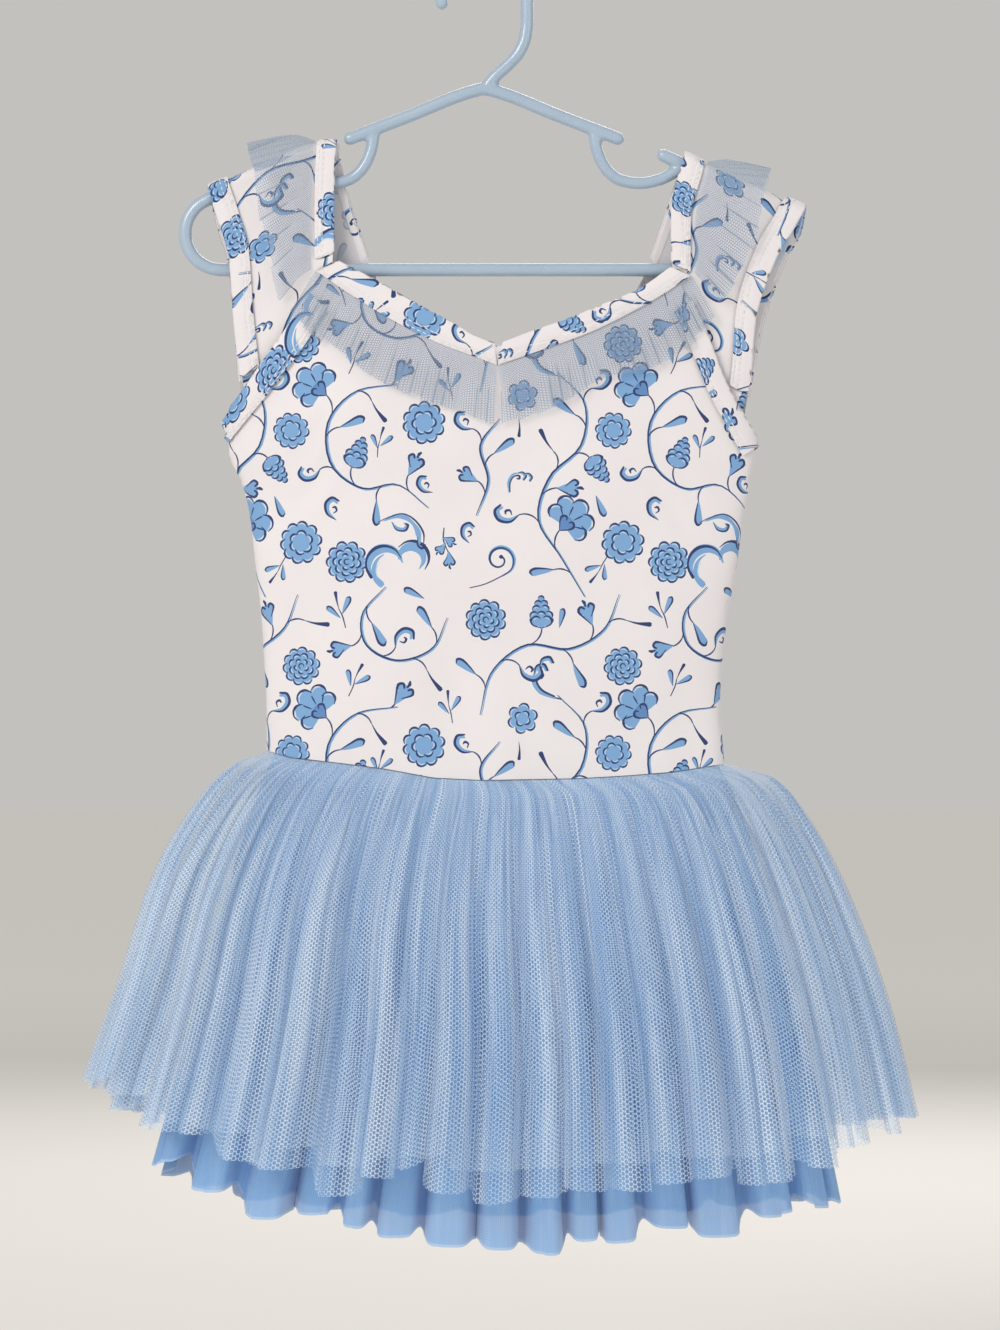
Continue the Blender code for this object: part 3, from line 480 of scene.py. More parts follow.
class Finish:
    """A material, built one node at a time on its shader."""

    def __init__(self, name, **constants):
        self.material = bpy.data.materials.new(name)
        self.material.use_nodes = True
        self.tree = self.material.node_tree
        self.shader = self.tree.nodes["Principled BSDF"]
        for socket, value in constants.items():
            self.shader.inputs[socket.replace("_", " ")].default_value = value

    def node(self, kind, settings, values, output=0):
        """Adds a node, sets it and fills its sockets, and gives one of its outputs."""
        made = self.tree.nodes.new(kind)
        for name, setting in settings.items():
            setattr(made, name, setting)
        for socket, value in values.items():
            self.fill(made.inputs[socket], value)
        return Value(self, made.outputs[output])

    def fill(self, socket, value):
        if isinstance(value, Value):
            self.tree.links.new(value.socket, socket)
        elif hasattr(value, "__len__") and len(value) == 3 and socket.type == "RGBA":
            socket.default_value = (*value, 1)
        else:
            socket.default_value = value

    def surface(self, **values):
        for socket, value in values.items():
            self.fill(self.shader.inputs[socket.replace("_", " ")], value)

    def place(self, scale=(1, 1, 1), of="Object"):
        """Where the surface lies, in metres times the scale."""
        where = self.node("ShaderNodeTexCoord", {}, {}, of)
        return self.node("ShaderNodeVectorMath", {"operation": "MULTIPLY"}, {0: where, 1: scale})

    def noise(self, where, scale, detail=2.0, roughness=0.5):
        return self.node("ShaderNodeTexNoise", {"noise_dimensions": "3D"},
                         {"Vector": where, "Scale": scale, "Detail": detail,
                          "Roughness": roughness})

    def mixed(self, share, first, second, blend="MIX"):
        """Two colours mixed by a share."""
        return self.node("ShaderNodeMix", {"data_type": "RGBA", "blend_type": blend},
                         {"Factor": share, 6: first, 7: second}, 2)

    def between(self, value, low, high, to_low=0.0, to_high=1.0):
        """The value's way from low to high, smooth at both ends."""
        return self.node("ShaderNodeMapRange", {"interpolation_type": "SMOOTHSTEP"},
                         {0: value, 1: low, 2: high, 3: to_low, 4: to_high})

    def bump(self, height, strength, distance):
        return self.node("ShaderNodeBump", {},
                         {"Strength": strength, "Distance": distance, "Height": height})

    def honeycomb(self, across, along, cell):
        """High on the threads of a net of six-sided holes, lowest at the middle of each hole."""
        turn = 2 * math.pi / cell
        slant = math.sqrt(3) / 2
        waves = self.cosine(across * turn)
        waves = waves + self.cosine(across * (-turn / 2) + along * (turn * slant))
        waves = waves + self.cosine(across * (-turn / 2) - along * (turn * slant))
        return waves * -1.0

    def cosine(self, angle):
        return angle.maths("COSINE", angle)

    def cloth_uv(self):
        """How far the thread lies across and along its cloth, in metres."""
        where = self.node("ShaderNodeTexCoord", {}, {}, "UV")
        split = {"Vector": where}
        return (self.node("ShaderNodeSeparateXYZ", {}, split, 0),
                self.node("ShaderNodeSeparateXYZ", {}, split, 1))


# Widths of the cloths' ribs, cells and hem edges, in metres
KNIT_RIB = 0.00065
NET_CELL = 0.0020
FINE_CELL = 0.0011
HEM_EDGE = 0.0018


def knit_finish(name, wrong_side):
    """Matte stretch knit that carries the print; the wrong side shows it faintly and is greyed as
    painted shade.
    """
    finish = Finish(name, Roughness=0.82, Sheen_Weight=0.12, Sheen_Roughness=0.6)
    printed = finish.node("ShaderNodeVertexColor", {"layer_name": "print"}, {})
    where = finish.place()
    cloudy = finish.noise(where, 18.0, 3.0)
    shade = finish.mixed(finish.between(cloudy, 0.35, 0.7), (0.97, 0.965, 0.97), (1, 1, 1))
    colour = finish.mixed(1.0, printed, shade, "MULTIPLY")
    if wrong_side:
        # On the wrong side the print is faded, as it shows through, and the colour is greyed as
        # painted shade.
        colour = finish.mixed(0.62, colour, (0.62, 0.62, 0.66))
    rib = finish.node("ShaderNodeTexWave", {"wave_type": "BANDS", "bands_direction": "X"},
                      {"Vector": where, "Scale": 1 / KNIT_RIB / 6.2832 * 2, "Distortion": 0.6})
    grain = finish.noise(where, 1400.0, 1.0)
    height = rib * 0.4 + grain * 0.6
    finish.surface(Base_Color=colour, Roughness=finish.between(grain, 0.2, 0.8, 0.78, 0.9),
                   Normal=finish.bump(height, 0.25, 0.0002))
    return finish.material


def net_finish():
    """Stiff net of six-sided holes, closer in streaks that run down the skirt; the streaks' paler
    colour is painted light.
    """
    finish = Finish("stiff_net", Roughness=0.55, Sheen_Weight=0.15)
    across, along = finish.cloth_uv()
    thread = finish.between(finish.honeycomb(across, along, NET_CELL), 0.5, 1.1)
    streak = finish.noise(finish.place((95, 6, 1), "UV"), 1.0, 3.0)
    # Painted light: the streaks are paler bands, as light caught on the net; the same streaks also
    # make the net closer in the alpha.
    lit_streak_and_closer_net = finish.between(streak, 0.38, 0.66)
    colour = finish.mixed(lit_streak_and_closer_net, (0.46, 0.64, 0.88), (0.66, 0.78, 0.92))
    finish.surface(Base_Color=colour, Alpha=thread * 0.66 + lit_streak_and_closer_net * 0.16 + 0.04)
    return finish.material


def soft_tulle_finish():
    """Fine soft tulle, close enough to hide most of what is behind it."""
    finish = Finish("soft_tulle", Roughness=0.7, Sheen_Weight=0.25)
    across, along = finish.cloth_uv()
    thread = finish.between(finish.honeycomb(across, along, FINE_CELL), 0.2, 0.9)
    where = finish.place()
    shade = finish.noise(where, 12.0, 2.0)
    streaks = finish.noise(finish.place((260, 260, 12)), 1.0, 2.0)
    colour = finish.mixed(shade, (0.18, 0.38, 0.71), (0.24, 0.45, 0.77))
    colour = finish.mixed(finish.between(streaks, 0.4, 0.8, 0.0, 0.3), colour, (0.38, 0.57, 0.82))
    hem = finish.between(along, -HEM_EDGE, -HEM_EDGE / 2)
    colour = finish.mixed(hem * 0.55, colour, (0.50, 0.66, 0.86))
    finish.surface(Base_Color=colour, Alpha=thread * 0.20 + 0.78)
    return finish.material


def sheer_finish():
    """Sheer grey-blue tulle of the ruffles."""
    finish = Finish("sheer_tulle", Roughness=0.7, Sheen_Weight=0.15)
    across, along = finish.cloth_uv()
    thread = finish.between(finish.honeycomb(across, along, FINE_CELL), 0.2, 0.9)
    where = finish.place()
    shade = finish.noise(where, 30.0, 2.0)
    colour = finish.mixed(shade, (0.27, 0.36, 0.49), (0.36, 0.45, 0.58))
    finish.surface(Base_Color=colour, Alpha=thread * 0.36 + 0.20)
    return finish.material


def hanger_finish():
    """Glossy moulded plastic with faint flow marks."""
    finish = Finish("hanger_plastic", Roughness=0.26, Coat_Weight=0.35, Coat_Roughness=0.12)
    where = finish.place()
    cloudy = finish.noise(where, 35.0, 2.0)
    fine = finish.noise(where, 420.0, 2.0)
    colour = finish.mixed(cloudy, (0.34, 0.44, 0.56), (0.39, 0.49, 0.60))
    finish.surface(Base_Color=colour, Roughness=finish.between(cloudy, 0.3, 0.7, 0.22, 0.34),
                   Normal=finish.bump(fine, 0.06, 0.0002))
    return finish.material


def thread_finish():
    """White sewing thread."""
    finish = Finish("sewing_thread", Roughness=0.55, Sheen_Weight=0.2)
    twist = finish.noise(finish.place(), 2500.0, 1.0)
    finish.surface(Base_Color=finish.mixed(twist, (0.70, 0.70, 0.74), (0.86, 0.86, 0.88)))
    return finish.material


# The print: a repeat of scrolling flowers, drawn in millimetres

WHITE = (0.78, 0.75, 0.77)
BLUE = (0.19, 0.37, 0.64)
SLATE = (0.11, 0.24, 0.50)
DARK = (0.018, 0.04, 0.15)
PALE = (0.50, 0.64, 0.80)
REPEAT = 167.0


def brush_line(points, steps):
    """A smooth line drawn through a few points."""
    points = np.asarray(points, float)
    ends = np.concatenate([2 * points[:1] - points[1:2], points, 2 * points[-1:] - points[-2:-1]])
    at = np.linspace(0, len(points) - 1, steps)
    i = np.minimum(at.astype(int), len(points) - 2)
    s = (at - i)[:, None]
    a, b, c, d = ends[i], ends[i + 1], ends[i + 2], ends[i + 3]
    return 0.5 * (2 * b + (c - a) * s + (2 * a - 5 * b + 4 * c - d) * s**2
                  + (3 * b - a - 3 * c + d) * s**3)


def stroke(points, widths, colour, steps=11):
    """A brush stroke whose width changes on its way, with rounded ends."""
    line = brush_line(points, steps)
    way = np.gradient(line, axis=0)
    way /= np.maximum(np.linalg.norm(way, axis=1, keepdims=True), 1e-9)
    side = np.stack([-way[:, 1], way[:, 0]], axis=1)
    shares = np.linspace(0, 1, len(widths))
    half = np.interp(np.linspace(0, 1, steps), shares, widths)[:, None] / 2
    turns = np.radians([-40, 40])[:, None]
    tip = line[-1] + half[-1] * (way[-1] * np.cos(turns) - side[-1] * np.sin(turns))
    tail = line[0] - half[0] * (way[0] * np.cos(turns) - side[0] * np.sin(turns))
    return np.concatenate([line + side * half, tip, (line - side * half)[::-1], tail]), colour


def round_spot(x, y, radius, colour, steps=12):
    turn = np.linspace(0, 2 * math.pi, steps, endpoint=False)
    return np.stack([x + radius * np.cos(turn), y + radius * np.sin(turn)], axis=1), colour


def arc_points(x, y, radius, start, end, count=5):
    turn = np.radians(np.linspace(start, end, count))
    return np.stack([x + radius * np.cos(turn), y + radius * np.sin(turn)], axis=1)


def petal_ring(radius, petals, bulge, turn, gap):
    """Broken dark outlines round a ring of petals, each with a pale sliver inside."""
    shapes = []
    for k in range(petals):
        way = turn + 360 * k / petals + 5 * math.sin(7.0 * k)
        x = (radius - bulge) * math.cos(math.radians(way))
        y = (radius - bulge) * math.sin(math.radians(way))
        back = 88 - gap * (0.6 + 0.4 * math.sin(5.0 * k))
        shapes.append(stroke(arc_points(x, y, bulge - 0.9, way - 60, way + 50), (0.3, 0.8, 0.3),
                             PALE, 4))
        shapes.append(stroke(arc_points(x, y, bulge, way - 88, way + back), (0.4, 1.25, 0.9, 0.3),
                             DARK, 7))
    return shapes


def rosette(spiral_heart):
    """A round flower of two or three rings of petals."""
    shapes = [round_spot(0, 0, 9.6, BLUE, 28)]
    shapes += [round_spot(8.2 * math.cos(a), 8.2 * math.sin(a), 2.9, BLUE, 10)
               for a in np.radians(np.arange(10) * 36.0)]
    shapes += petal_ring(10.9, 10, 2.9, 0, 40)
    if spiral_heart:
        shapes += petal_ring(7.4, 8, 2.4, 15, 45)
        shapes += petal_ring(4.3, 5, 1.7, 40, 50)
        shapes.append(stroke(arc_points(0, 0, 1.5, -20, 240, 7), (0.4, 0.9, 0.5), DARK, 9))
    else:
        shapes += petal_ring(6.2, 6, 2.7, 15, 40)
    return shapes


def fan_flower():
    """A five-lobed flower seen from the side, with its calyx."""
    lobes = ((-78, 8.6, 4.2), (-40, 11.5, 4.9), (0, 12.6, 5.0), (39, 11.4, 4.8), (77, 8.4, 4.3))
    shapes = [stroke(((0, 1), (0, 4), (0, 7)), (2.5, 9, 9), BLUE)]
    ends = []
    for k, (way, reach, bulge) in enumerate(lobes):
        way = math.radians(90 - way)
        x, y = reach * math.cos(way), 3.0 + (reach - 1.0) * math.sin(way)
        shapes.append(stroke(((0, 3), (x * 0.55, 3 + (y - 3) * 0.6), (x, y)),
                             (2.0, bulge * 1.35, bulge * 1.95), BLUE))
        if k:
            half_way = way + math.radians(20)
            between_lobes = [(r * math.cos(half_way), 3 + r * math.sin(half_way))
                             for r in (5.5, 8, 10.5)]
            ends.append(stroke(between_lobes, (0.4, 0.9, 0.7), DARK, 8))
        heading = math.degrees(way)
        ends.append(stroke(arc_points(x, y, bulge - 1.2, heading - 10, heading + 75),
                           (0.2, 0.7, 0.2), PALE, 6))
        ends.append(stroke(arc_points(x, y, bulge, heading - 95, heading + 88 - 18 * (k % 2)),
                           (0.4, 1.6, 1.0, 0.4), DARK, 12))
    calyx = [stroke(((0, -1), (0, 2.5), (0, 6.0)), (1.4, 5.4, 4.2), SLATE),
             round_spot(-2.6, 4.6, 2.0, SLATE), round_spot(2.6, 4.6, 2.0, SLATE),
             stroke(((-0.4, -1), (-3.6, 2.6), (-4.4, 5.4), (-2.2, 6.8), (-1.0, 5.2)),
                    (0.5, 1.0, 1.5, 1.2, 0.6), DARK),
             stroke(((0.4, -1), (3.4, 2.6), (4.4, 5.2), (2.4, 6.9), (1.0, 5.4)),
                    (0.5, 0.8, 1.4, 1.2, 0.6), DARK)]
    return shapes + ends + calyx


def small_flower():
    shapes = [round_spot(0, 0, 6.4, BLUE, 18)]
    shapes += [round_spot(5.4 * math.cos(a), 5.4 * math.sin(a), 3.1, BLUE, 12)
               for a in np.radians(np.arange(6) * 60.0)]
    shapes += petal_ring(8.6, 6, 3.2, 0, 30)
    shapes += petal_ring(4.6, 4, 2.3, 35, 20)
    return shapes


def cone_bud():
    """A bud of overlapping scales that narrows to its tip."""
    rows = ((2.6, (-2.9, 2.9), 2.9), (5.6, (-4.0, 0.0, 4.0), 2.6), (9.2, (-2.6, 2.2), 2.5),
            (12.4, (-1.6, 1.8), 2.1), (15.2, (0.2,), 1.9))
    shapes = [stroke(((0, -1), (0, 4), (0, 10), (0, 15)), (2.0, 9.5, 6.0, 2.5), BLUE)]
    marks = []
    for k, (y, places, bulge) in enumerate(rows):
        for x in places:
            shapes.append(round_spot(x, y, bulge, BLUE, 12))
            way = 90 - 9 * x
            marks.append(stroke(arc_points(x, y, bulge, way - 85, way + 70), (0.3, 1.2, 0.9, 0.3),
                                DARK, 9))
            if k < 3:
                marks.append(stroke(arc_points(x, y, bulge - 1.1, way - 40, way + 40),
                                    (0.2, 0.6, 0.2), PALE, 5))
    marks.append(stroke(((-0.3, -1.2), (-4.8, 0.4), (-6.4, 3.6), (-5.4, 4.4)), (0.5, 0.9, 1.2, 0.8),
                        DARK))
    marks.append(stroke(((0.3, -1.2), (4.6, 0.2), (6.6, 3.0), (5.6, 4.2)), (0.5, 0.8, 1.1, 0.8),
                        DARK))
    return shapes + marks


def heart_bud():
    """A three-lobed bud on its stem."""
    return [stroke(((0, -1), (0, 4), (0, 8)), (0.6, 5.0, 6.4), BLUE),
            round_spot(-2.4, 8.0, 2.2, BLUE), round_spot(2.4, 8.0, 2.2, BLUE),
            stroke(((0, -1.5), (-2.8, 4.0), (-4.6, 8.2), (-2.6, 10.2), (-1.0, 8.6)),
                   (0.4, 0.9, 1.5, 1.4, 1.0), DARK),
            stroke(((1.0, 3.4), (3.0, 5.6), (4.6, 8.4), (2.8, 10.4), (1.4, 8.8)),
                   (0.4, 0.8, 1.3, 1.4, 1.0), DARK),
            stroke(((0, 9.6), (0.2, 11.6), (-0.4, 13.0)), (0.7, 1.9, 1.2), DARK)]


def leaf(bend):
    """A drop-shaped leaf with a dark edge."""
    tip = (bend, 12.0)
    return [stroke(((0, 0), (bend * 0.25, 5), tip), (0.5, 2.3, 4.2), BLUE),
            stroke(((0, 0), (bend * 0.25 + 1.5, 5), (bend + 2.1, 10.8), (bend + 0.9, 13.9),
                    (bend - 1.5, 13.0)), (0.4, 0.9, 1.4, 1.5, 0.5), DARK)]


def dark_leaf(bend):
    return [stroke(((0, 0), (bend * 0.2, 6), (bend, 12.5)), (0.3, 1.1, 2.5), DARK)]


def leaf_spray(bend):
    """Three leaves from one stem."""
    shapes = [stroke(((0, -12), (bend * 0.3, -5), (0, 1)), (0.7, 0.9, 0.6), DARK)]
    for x, y, turn, size, kind in ((-1.0, -5.0, 38, 0.8, leaf), (0, 0, -2, 0.92, dark_leaf),
                                   (1.0, -3.0, -36, 0.85, leaf)):
        shapes += placed(kind(1.2), x, y, turn, size, False)
    return shapes


def bud_spray(bend):
    """Three heart buds from one curved stem."""
    shapes = [stroke(((0, -14), (bend, -5), (0, 5)), (0.9, 1.1, 0.7), DARK)]
    for x, y, turn, size in ((bend * 0.8, -6.5, 52, 0.82), (0, 5, -4, 0.95),
                             (bend * 0.7, -2.0, -50, 0.8)):
        shapes += placed(heart_bud(), x, y, turn, size, False)
    return shapes


def crescents():
    """Two broad curling leaves set back to back."""
    first = arc_points(0, 0, 9.5, 200, -10, 7)
    second = arc_points(14.5, -1.5, 6.8, 160, -70, 7)
    shadow = arc_points(-0.4, 0.9, 10.0, 205, 0, 7)
    under = arc_points(2.0, -3.4, 9.4, 215, 95, 6)
    return [stroke(first, (1.0, 4.2, 5.4, 4.0, 0.7), BLUE, 20),
            stroke(second, (0.8, 4.2, 5.0, 3.2, 0.6), BLUE, 18),
            stroke(under, (3.6, 2.6, 0.5), BLUE, 14),
            stroke(shadow, (1.8, 1.0, 1.9, 1.3, 0.4), DARK, 18),
            stroke(arc_points(14.9, -1.1, 9.4, 120, -60, 7), (0.4, 1.7, 2.0, 0.5), DARK, 16),
            stroke(arc_points(1.2, -3.6, 7.4, 190, 120, 5), (0.4, 0.8, 0.3), PALE, 8)]


def tendril():
    """A spiral that ends in a drop."""
    turn = np.radians(np.linspace(-100, 400, 13))
    reach = np.linspace(10.5, 2.2, 13)
    line = np.stack([reach * np.cos(turn), reach * np.sin(turn)], axis=1)
    stem = np.array([(-24.0, -10.5), (-14.0, -11.6)])
    whole = np.concatenate([stem, line])
    return [stroke(line[:9] * 1.04, (0.6, 2.6, 2.8, 1.6, 0.4), BLUE, 22),
            stroke(whole, (0.7, 0.8, 1.0, 1.5, 1.3, 1.1, 1.3), DARK, 40),
            round_spot(line[-1][0], line[-1][1], 1.35, DARK)]


def rolling_leaf():
    """A long S-shaped leaf whose edge rolls over."""
    spine = ((0, 0), (9, 5.0), (18, 3.6), (25, -3.0), (28, -12))
    return [stroke(spine, (0.6, 3.0, 3.6, 2.2, 4.4, 1.6), BLUE, 22),
            stroke(((-4, -1.4), (4, 3.6), (13, 7.2), (22, 4.0), (29.5, -4.0), (31.0, -13)),
                   (0.5, 0.9, 0.9, 1.3, 1.5, 0.5), DARK, 24),
            stroke(((6, 0.4), (10, -3.4), (15.4, -3.8), (17.0, 0.0), (14.6, 0.6)),
                   (0.5, 2.2, 2.6, 1.9, 0.6), BLUE, 14),
            stroke(((6, 0.0), (10, -4.8), (16.4, -4.6), (18.0, -0.4), (15.8, 0.2)),
                   (0.4, 1.0, 1.4, 1.7, 1.0), DARK, 16),
            stroke(((26.2, -8), (26.6, -13.4), (30.4, -15.6), (32.0, -12.6)), (0.4, 1.2, 1.8, 1.2),
                   DARK, 12)]


def curled_feather():
    """A leaf that ends in three curls."""
    shapes = [stroke(((0, 0), (2.5, 8), (8, 13), (14, 12.6)), (1.3, 2.6, 2.0, 0.8), BLUE, 16),
              stroke(((0.8, 0), (3.6, 7.4), (8.4, 11.2), (12.8, 10.4), (12.4, 8.0), (10.4, 8.6)),
                     (1.0, 1.3, 1.2, 1.7, 2.0, 1.2), DARK, 20)]
    for x, y, size in ((12.5, 12.6, 1.0), (17.5, 9.8, 0.9)):
        shapes.append(stroke(((x, y), (x + 3.6 * size, y - 0.6), (x + 5.2 * size, y - 4.4),
                              (x + 2.6 * size, y - 6.2)), (0.8, 2.4, 2.6, 1.2), BLUE, 12))
        shapes.append(stroke(((x, y + 0.4), (x + 4.4 * size, y - 0.4), (x + 6.2 * size, y - 4.6),
                              (x + 2.8 * size, y - 7.2)), (0.4, 1.2, 1.5, 1.2), DARK, 12))
    return shapes


def comma():
    """A curled drop with two inner curls."""
    return [stroke(((0, 0), (-1.8, 5.5), (0.4, 10.0), (4.4, 10.4), (5.6, 7.6)),
                   (0.5, 2.6, 3.0, 2.2, 1.2), BLUE, 16),
            stroke(((0.2, -0.6), (-2.6, 5.2), (-0.4, 10.8), (4.6, 11.8), (7.0, 8.2)),
                   (0.4, 1.3, 1.6, 1.5, 1.1), DARK, 18),
            stroke(((0.8, 3.6), (3.2, 4.0), (3.4, 6.2), (2.0, 6.6)), (0.5, 1.1, 1.5, 0.8), DARK, 9)]


def drawn(kind, setting):
    """A motif's shapes, with its bend or its sort of heart where it has one."""
    return kind() if setting is None else kind(setting)


def placed(shapes, x, y, turn, size, flipped):
    """Shapes turned by degrees, sized and set down at (x, y)."""
    a = math.radians(turn)
    spin = np.array([[math.cos(a), -math.sin(a)], [math.sin(a), math.cos(a)]])
    mirror = np.array([-1.0 if flipped else 1.0, 1.0])
    return [((points * mirror * size) @ spin.T + (x, y), colour) for points, colour in shapes]


STEM_STEPS = 120
STEM_SHADE = (0.7, -0.35)
OFFSHOOT_STEPS = 6
OFFSHOOT_OPENING = 22.0


def grown(points, offshoots):
    """A long flowing stem whose curved offshoots end in flowers, buds and leaves."""
    line = brush_line(points, STEM_STEPS)
    shapes = [stroke(np.asarray(points, float) + STEM_SHADE, (0.4, 1.2, 1.6, 1.2, 0.3), BLUE, 26),
              stroke(points, (0.4, 0.8, 1.05, 0.85, 0.35), DARK, 28)]
    for share, side, reach, curl, kind, setting, size in offshoots:
        k = min(int(share * STEM_STEPS), STEM_STEPS - 2)
        heading = math.degrees(math.atan2(*(line[k + 1] - line[k])[::-1]))
        place, path = line[k], [line[k]]
        for step in range(OFFSHOOT_STEPS):
            turned = math.radians(heading + side * (OFFSHOOT_OPENING + curl * step / OFFSHOOT_STEPS))
            place = place + reach / OFFSHOOT_STEPS * np.array([math.cos(turned), math.sin(turned)])
            path.append(place)
        shapes.append(stroke(path, (0.4, 0.9, 0.6), DARK, 12))
        facing = math.degrees(turned) - 90
        shapes += placed(drawn(kind, setting), *place, facing, size, side < 0)
    return shapes


# The repeat's stems: points, then offshoots as share, side, reach, curl, kind, setting, size
VINES = (
    (((64, -6), (52, 14), (40, 34), (46, 56), (62, 72), (64, 94), (50, 110)),
     ((0.10, 1, 9, 60, leaf, 1, 0.9), (0.20, -1, 12, 70, fan_flower, None, 0.95),
      (0.32, 1, 12, 80, comma, None, 1.0), (0.42, -1, 11, 60, heart_bud, None, 0.95),
      (0.54, 1, 10, 80, dark_leaf, 2, 1.0), (0.62, -1, 10, 90, cone_bud, None, 0.86),
      (0.74, 1, 9, 60, leaf, 2, 0.95), (0.84, -1, 9, 80, comma, None, 0.95),
      (0.97, 1, 4, 20, curled_feather, None, 0.9))),
    (((150, 40), (134, 52), (116, 50), (100, 62), (98, 84), (112, 100), (134, 104)),
     ((0.10, -1, 10, 70, heart_bud, None, 0.95), (0.24, 1, 9, 70, leaf, 1, 0.9),
      (0.36, -1, 12, 80, cone_bud, None, 0.9), (0.48, 1, 8, 80, comma, None, 0.9),
      (0.60, -1, 10, 70, leaf, 2, 0.95), (0.70, 1, 12, 70, fan_flower, None, 0.92),
      (0.84, -1, 10, 80, dark_leaf, 2, 1.0), (0.97, 1, 4, 30, heart_bud, None, 1.0))),
    (((10, 100), (16, 122), (34, 136), (56, 134), (74, 144), (82, 162)),
     ((0.12, 1, 9, 60, leaf, 1, 0.9), (0.26, -1, 11, 80, comma, None, 1.0),
      (0.42, 1, 12, 80, cone_bud, None, 0.9), (0.56, -1, 10, 60, leaf, 2, 0.95),
      (0.70, 1, 10, 70, heart_bud, None, 0.95), (0.84, -1, 10, 70, dark_leaf, 2, 1.0))),
    (((128, 166), (116, 152), (118, 136), (134, 128), (152, 134), (160, 150)),
     ((0.14, 1, 10, 70, leaf, 2, 0.95), (0.32, -1, 10, 80, heart_bud, None, 0.9),
      (0.50, 1, 10, 80, comma, None, 0.95), (0.68, -1, 10, 70, dark_leaf, 2, 1.0),
      (0.84, 1, 9, 60, leaf, 1, 0.9))),
    (((8, 36), (14, 54), (10, 72), (20, 86)),
     ((0.2, 1, 9, 70, heart_bud, None, 0.85), (0.45, -1, 9, 70, leaf, 1, 0.9),
      (0.7, 1, 9, 80, comma, None, 0.9))),
)

# The repeat's free-standing flowers and leaves: what, setting, where, turned, sized, flipped
PRINT = (
    (rosette, False, 84, 22, 10, 1.0, False), (rosette, True, 108, 12, 70, 0.98, False),
    (crescents, None, 128, 10, 20, 0.95, False), (small_flower, None, 32, 98, 20, 0.9, False),
    (rosette, False, 79, 80, 30, 0.85, False), (rosette, True, 84, 125, 10, 0.9, False),
    (rosette, False, 148, 84, 50, 1.0, False), (rosette, True, 13, 149, 20, 0.95, False),
    (tendril, None, 20, 13, 20, 0.8, False),
    (leaf_spray, 2, 104, 154, 20, 0.8, False), (leaf_spray, -2, 125, 74, -8, 0.66, False),
    (rolling_leaf, None, 127, 33, -8, 0.72, False),
    (curled_feather, None, 25, 48, 20, 0.6, False), (leaf_spray, 1, 72, 8, 150, 0.7, False),
    (leaf_spray, 1, 161, 104, 12, 0.7, False),
    (leaf, 1, 70, 46, -150, 0.8, False), (dark_leaf, 2, 30, 86, 190, 0.7, False),
    (comma, None, 152, 48, 60, 0.8, False),
    (leaf, 1, 51, 145, -5, 0.7, False),
    (comma, None, 102, 34, 30, 0.9, False), (bud_spray, 2, 160, 20, 190, 0.68, False),
    (leaf_spray, 2, 112, 118, -20, 0.75, False),
    (leaf, 1, 148, 160, 70, 0.8, False),
    (comma, None, 4, 22, 20, 0.8, False),
)


def repeat_shapes():
    """Every shape of one repeat of the print, in the order it is printed."""
    shapes = []
    for points, offshoots in VINES:
        shapes += grown(points, offshoots)
    for kind, setting, x, y, turn, size, flipped in PRINT:
        shapes += placed(drawn(kind, setting), x, y, turn, size, flipped)
    return shapes


def tiled_motifs(polygon, start):
    """The print's shapes that can touch a piece, as (points, colour)."""
    low, high = polygon.min(axis=0), polygon.max(axis=0)
    tiles = [range(math.floor((low[k] - start[k]) / REPEAT) - 1,
                   math.ceil((high[k] - start[k]) / REPEAT) + 1) for k in (0, 1)]
    found = []
    for points, colour in repeat_shapes():
        for column_of_tile in tiles[0]:
            for row_of_tile in tiles[1]:
                moved = points + np.array([column_of_tile, row_of_tile]) * REPEAT + start
                if (moved.max(axis=0) > low).all() and (moved.min(axis=0) < high).all():
                    found.append((moved, colour))
    return found


# Making pieces

PIECES = bpy.data.collections.new("ballet_dress_pieces")
bpy.context.scene.collection.children.link(PIECES)
Cut = namedtuple("Cut", "width length area")
TRIANGLES_ONLY = 0
WELD = 1e-4
SLOPE_REACH = 0.25


def mesh_piece(name, points, faces, finishes, smooth=True):
    """A mesh object whose points are in millimetres."""
    data = bpy.data.meshes.new(name)
    data.from_pydata((np.asarray(points) * MM).tolist(), [], [tuple(face) for face in faces])
    for finish in finishes:
        data.materials.append(finish)
    if smooth:
        data.shade_smooth()
    piece = bpy.data.objects.new(name, data)
    PIECES.objects.link(piece)
    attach(piece, "root")
    return piece


def paint(data, name, colours):
    """Lays one colour on each corner of each face."""
    layer = data.color_attributes.new(name, "BYTE_COLOR", "CORNER")
    sizes = np.empty(len(data.polygons), np.int32)
    data.polygons.foreach_get("loop_total", sizes)
    spread = np.repeat(np.asarray(colours, np.float32), sizes, axis=0)
    full = np.concatenate([spread, np.ones((len(spread), 1), np.float32)], axis=1)
    layer.data.foreach_set("color", full.ravel())


def set_uv(data, places):
    """Lays each point's place on its cloth, in metres, as the mesh's UV."""
    layer = data.uv_layers.new(name="cloth")
    corners = np.empty(len(data.loops), np.int32)
    data.loops.foreach_get("vertex_index", corners)
    layer.data.foreach_set("uv", np.asarray(places, np.float32)[corners].ravel())


def open_edges(faces):
    """The edges that only one face uses, in that face's direction."""
    ends = np.concatenate([faces[:, [0, 1]], faces[:, [1, 2]], faces[:, [2, 0]]])
    keyed = np.sort(ends, axis=1)
    _, first, count = np.unique(keyed, axis=0, return_index=True, return_counts=True)
    return ends[first[count == 1]]


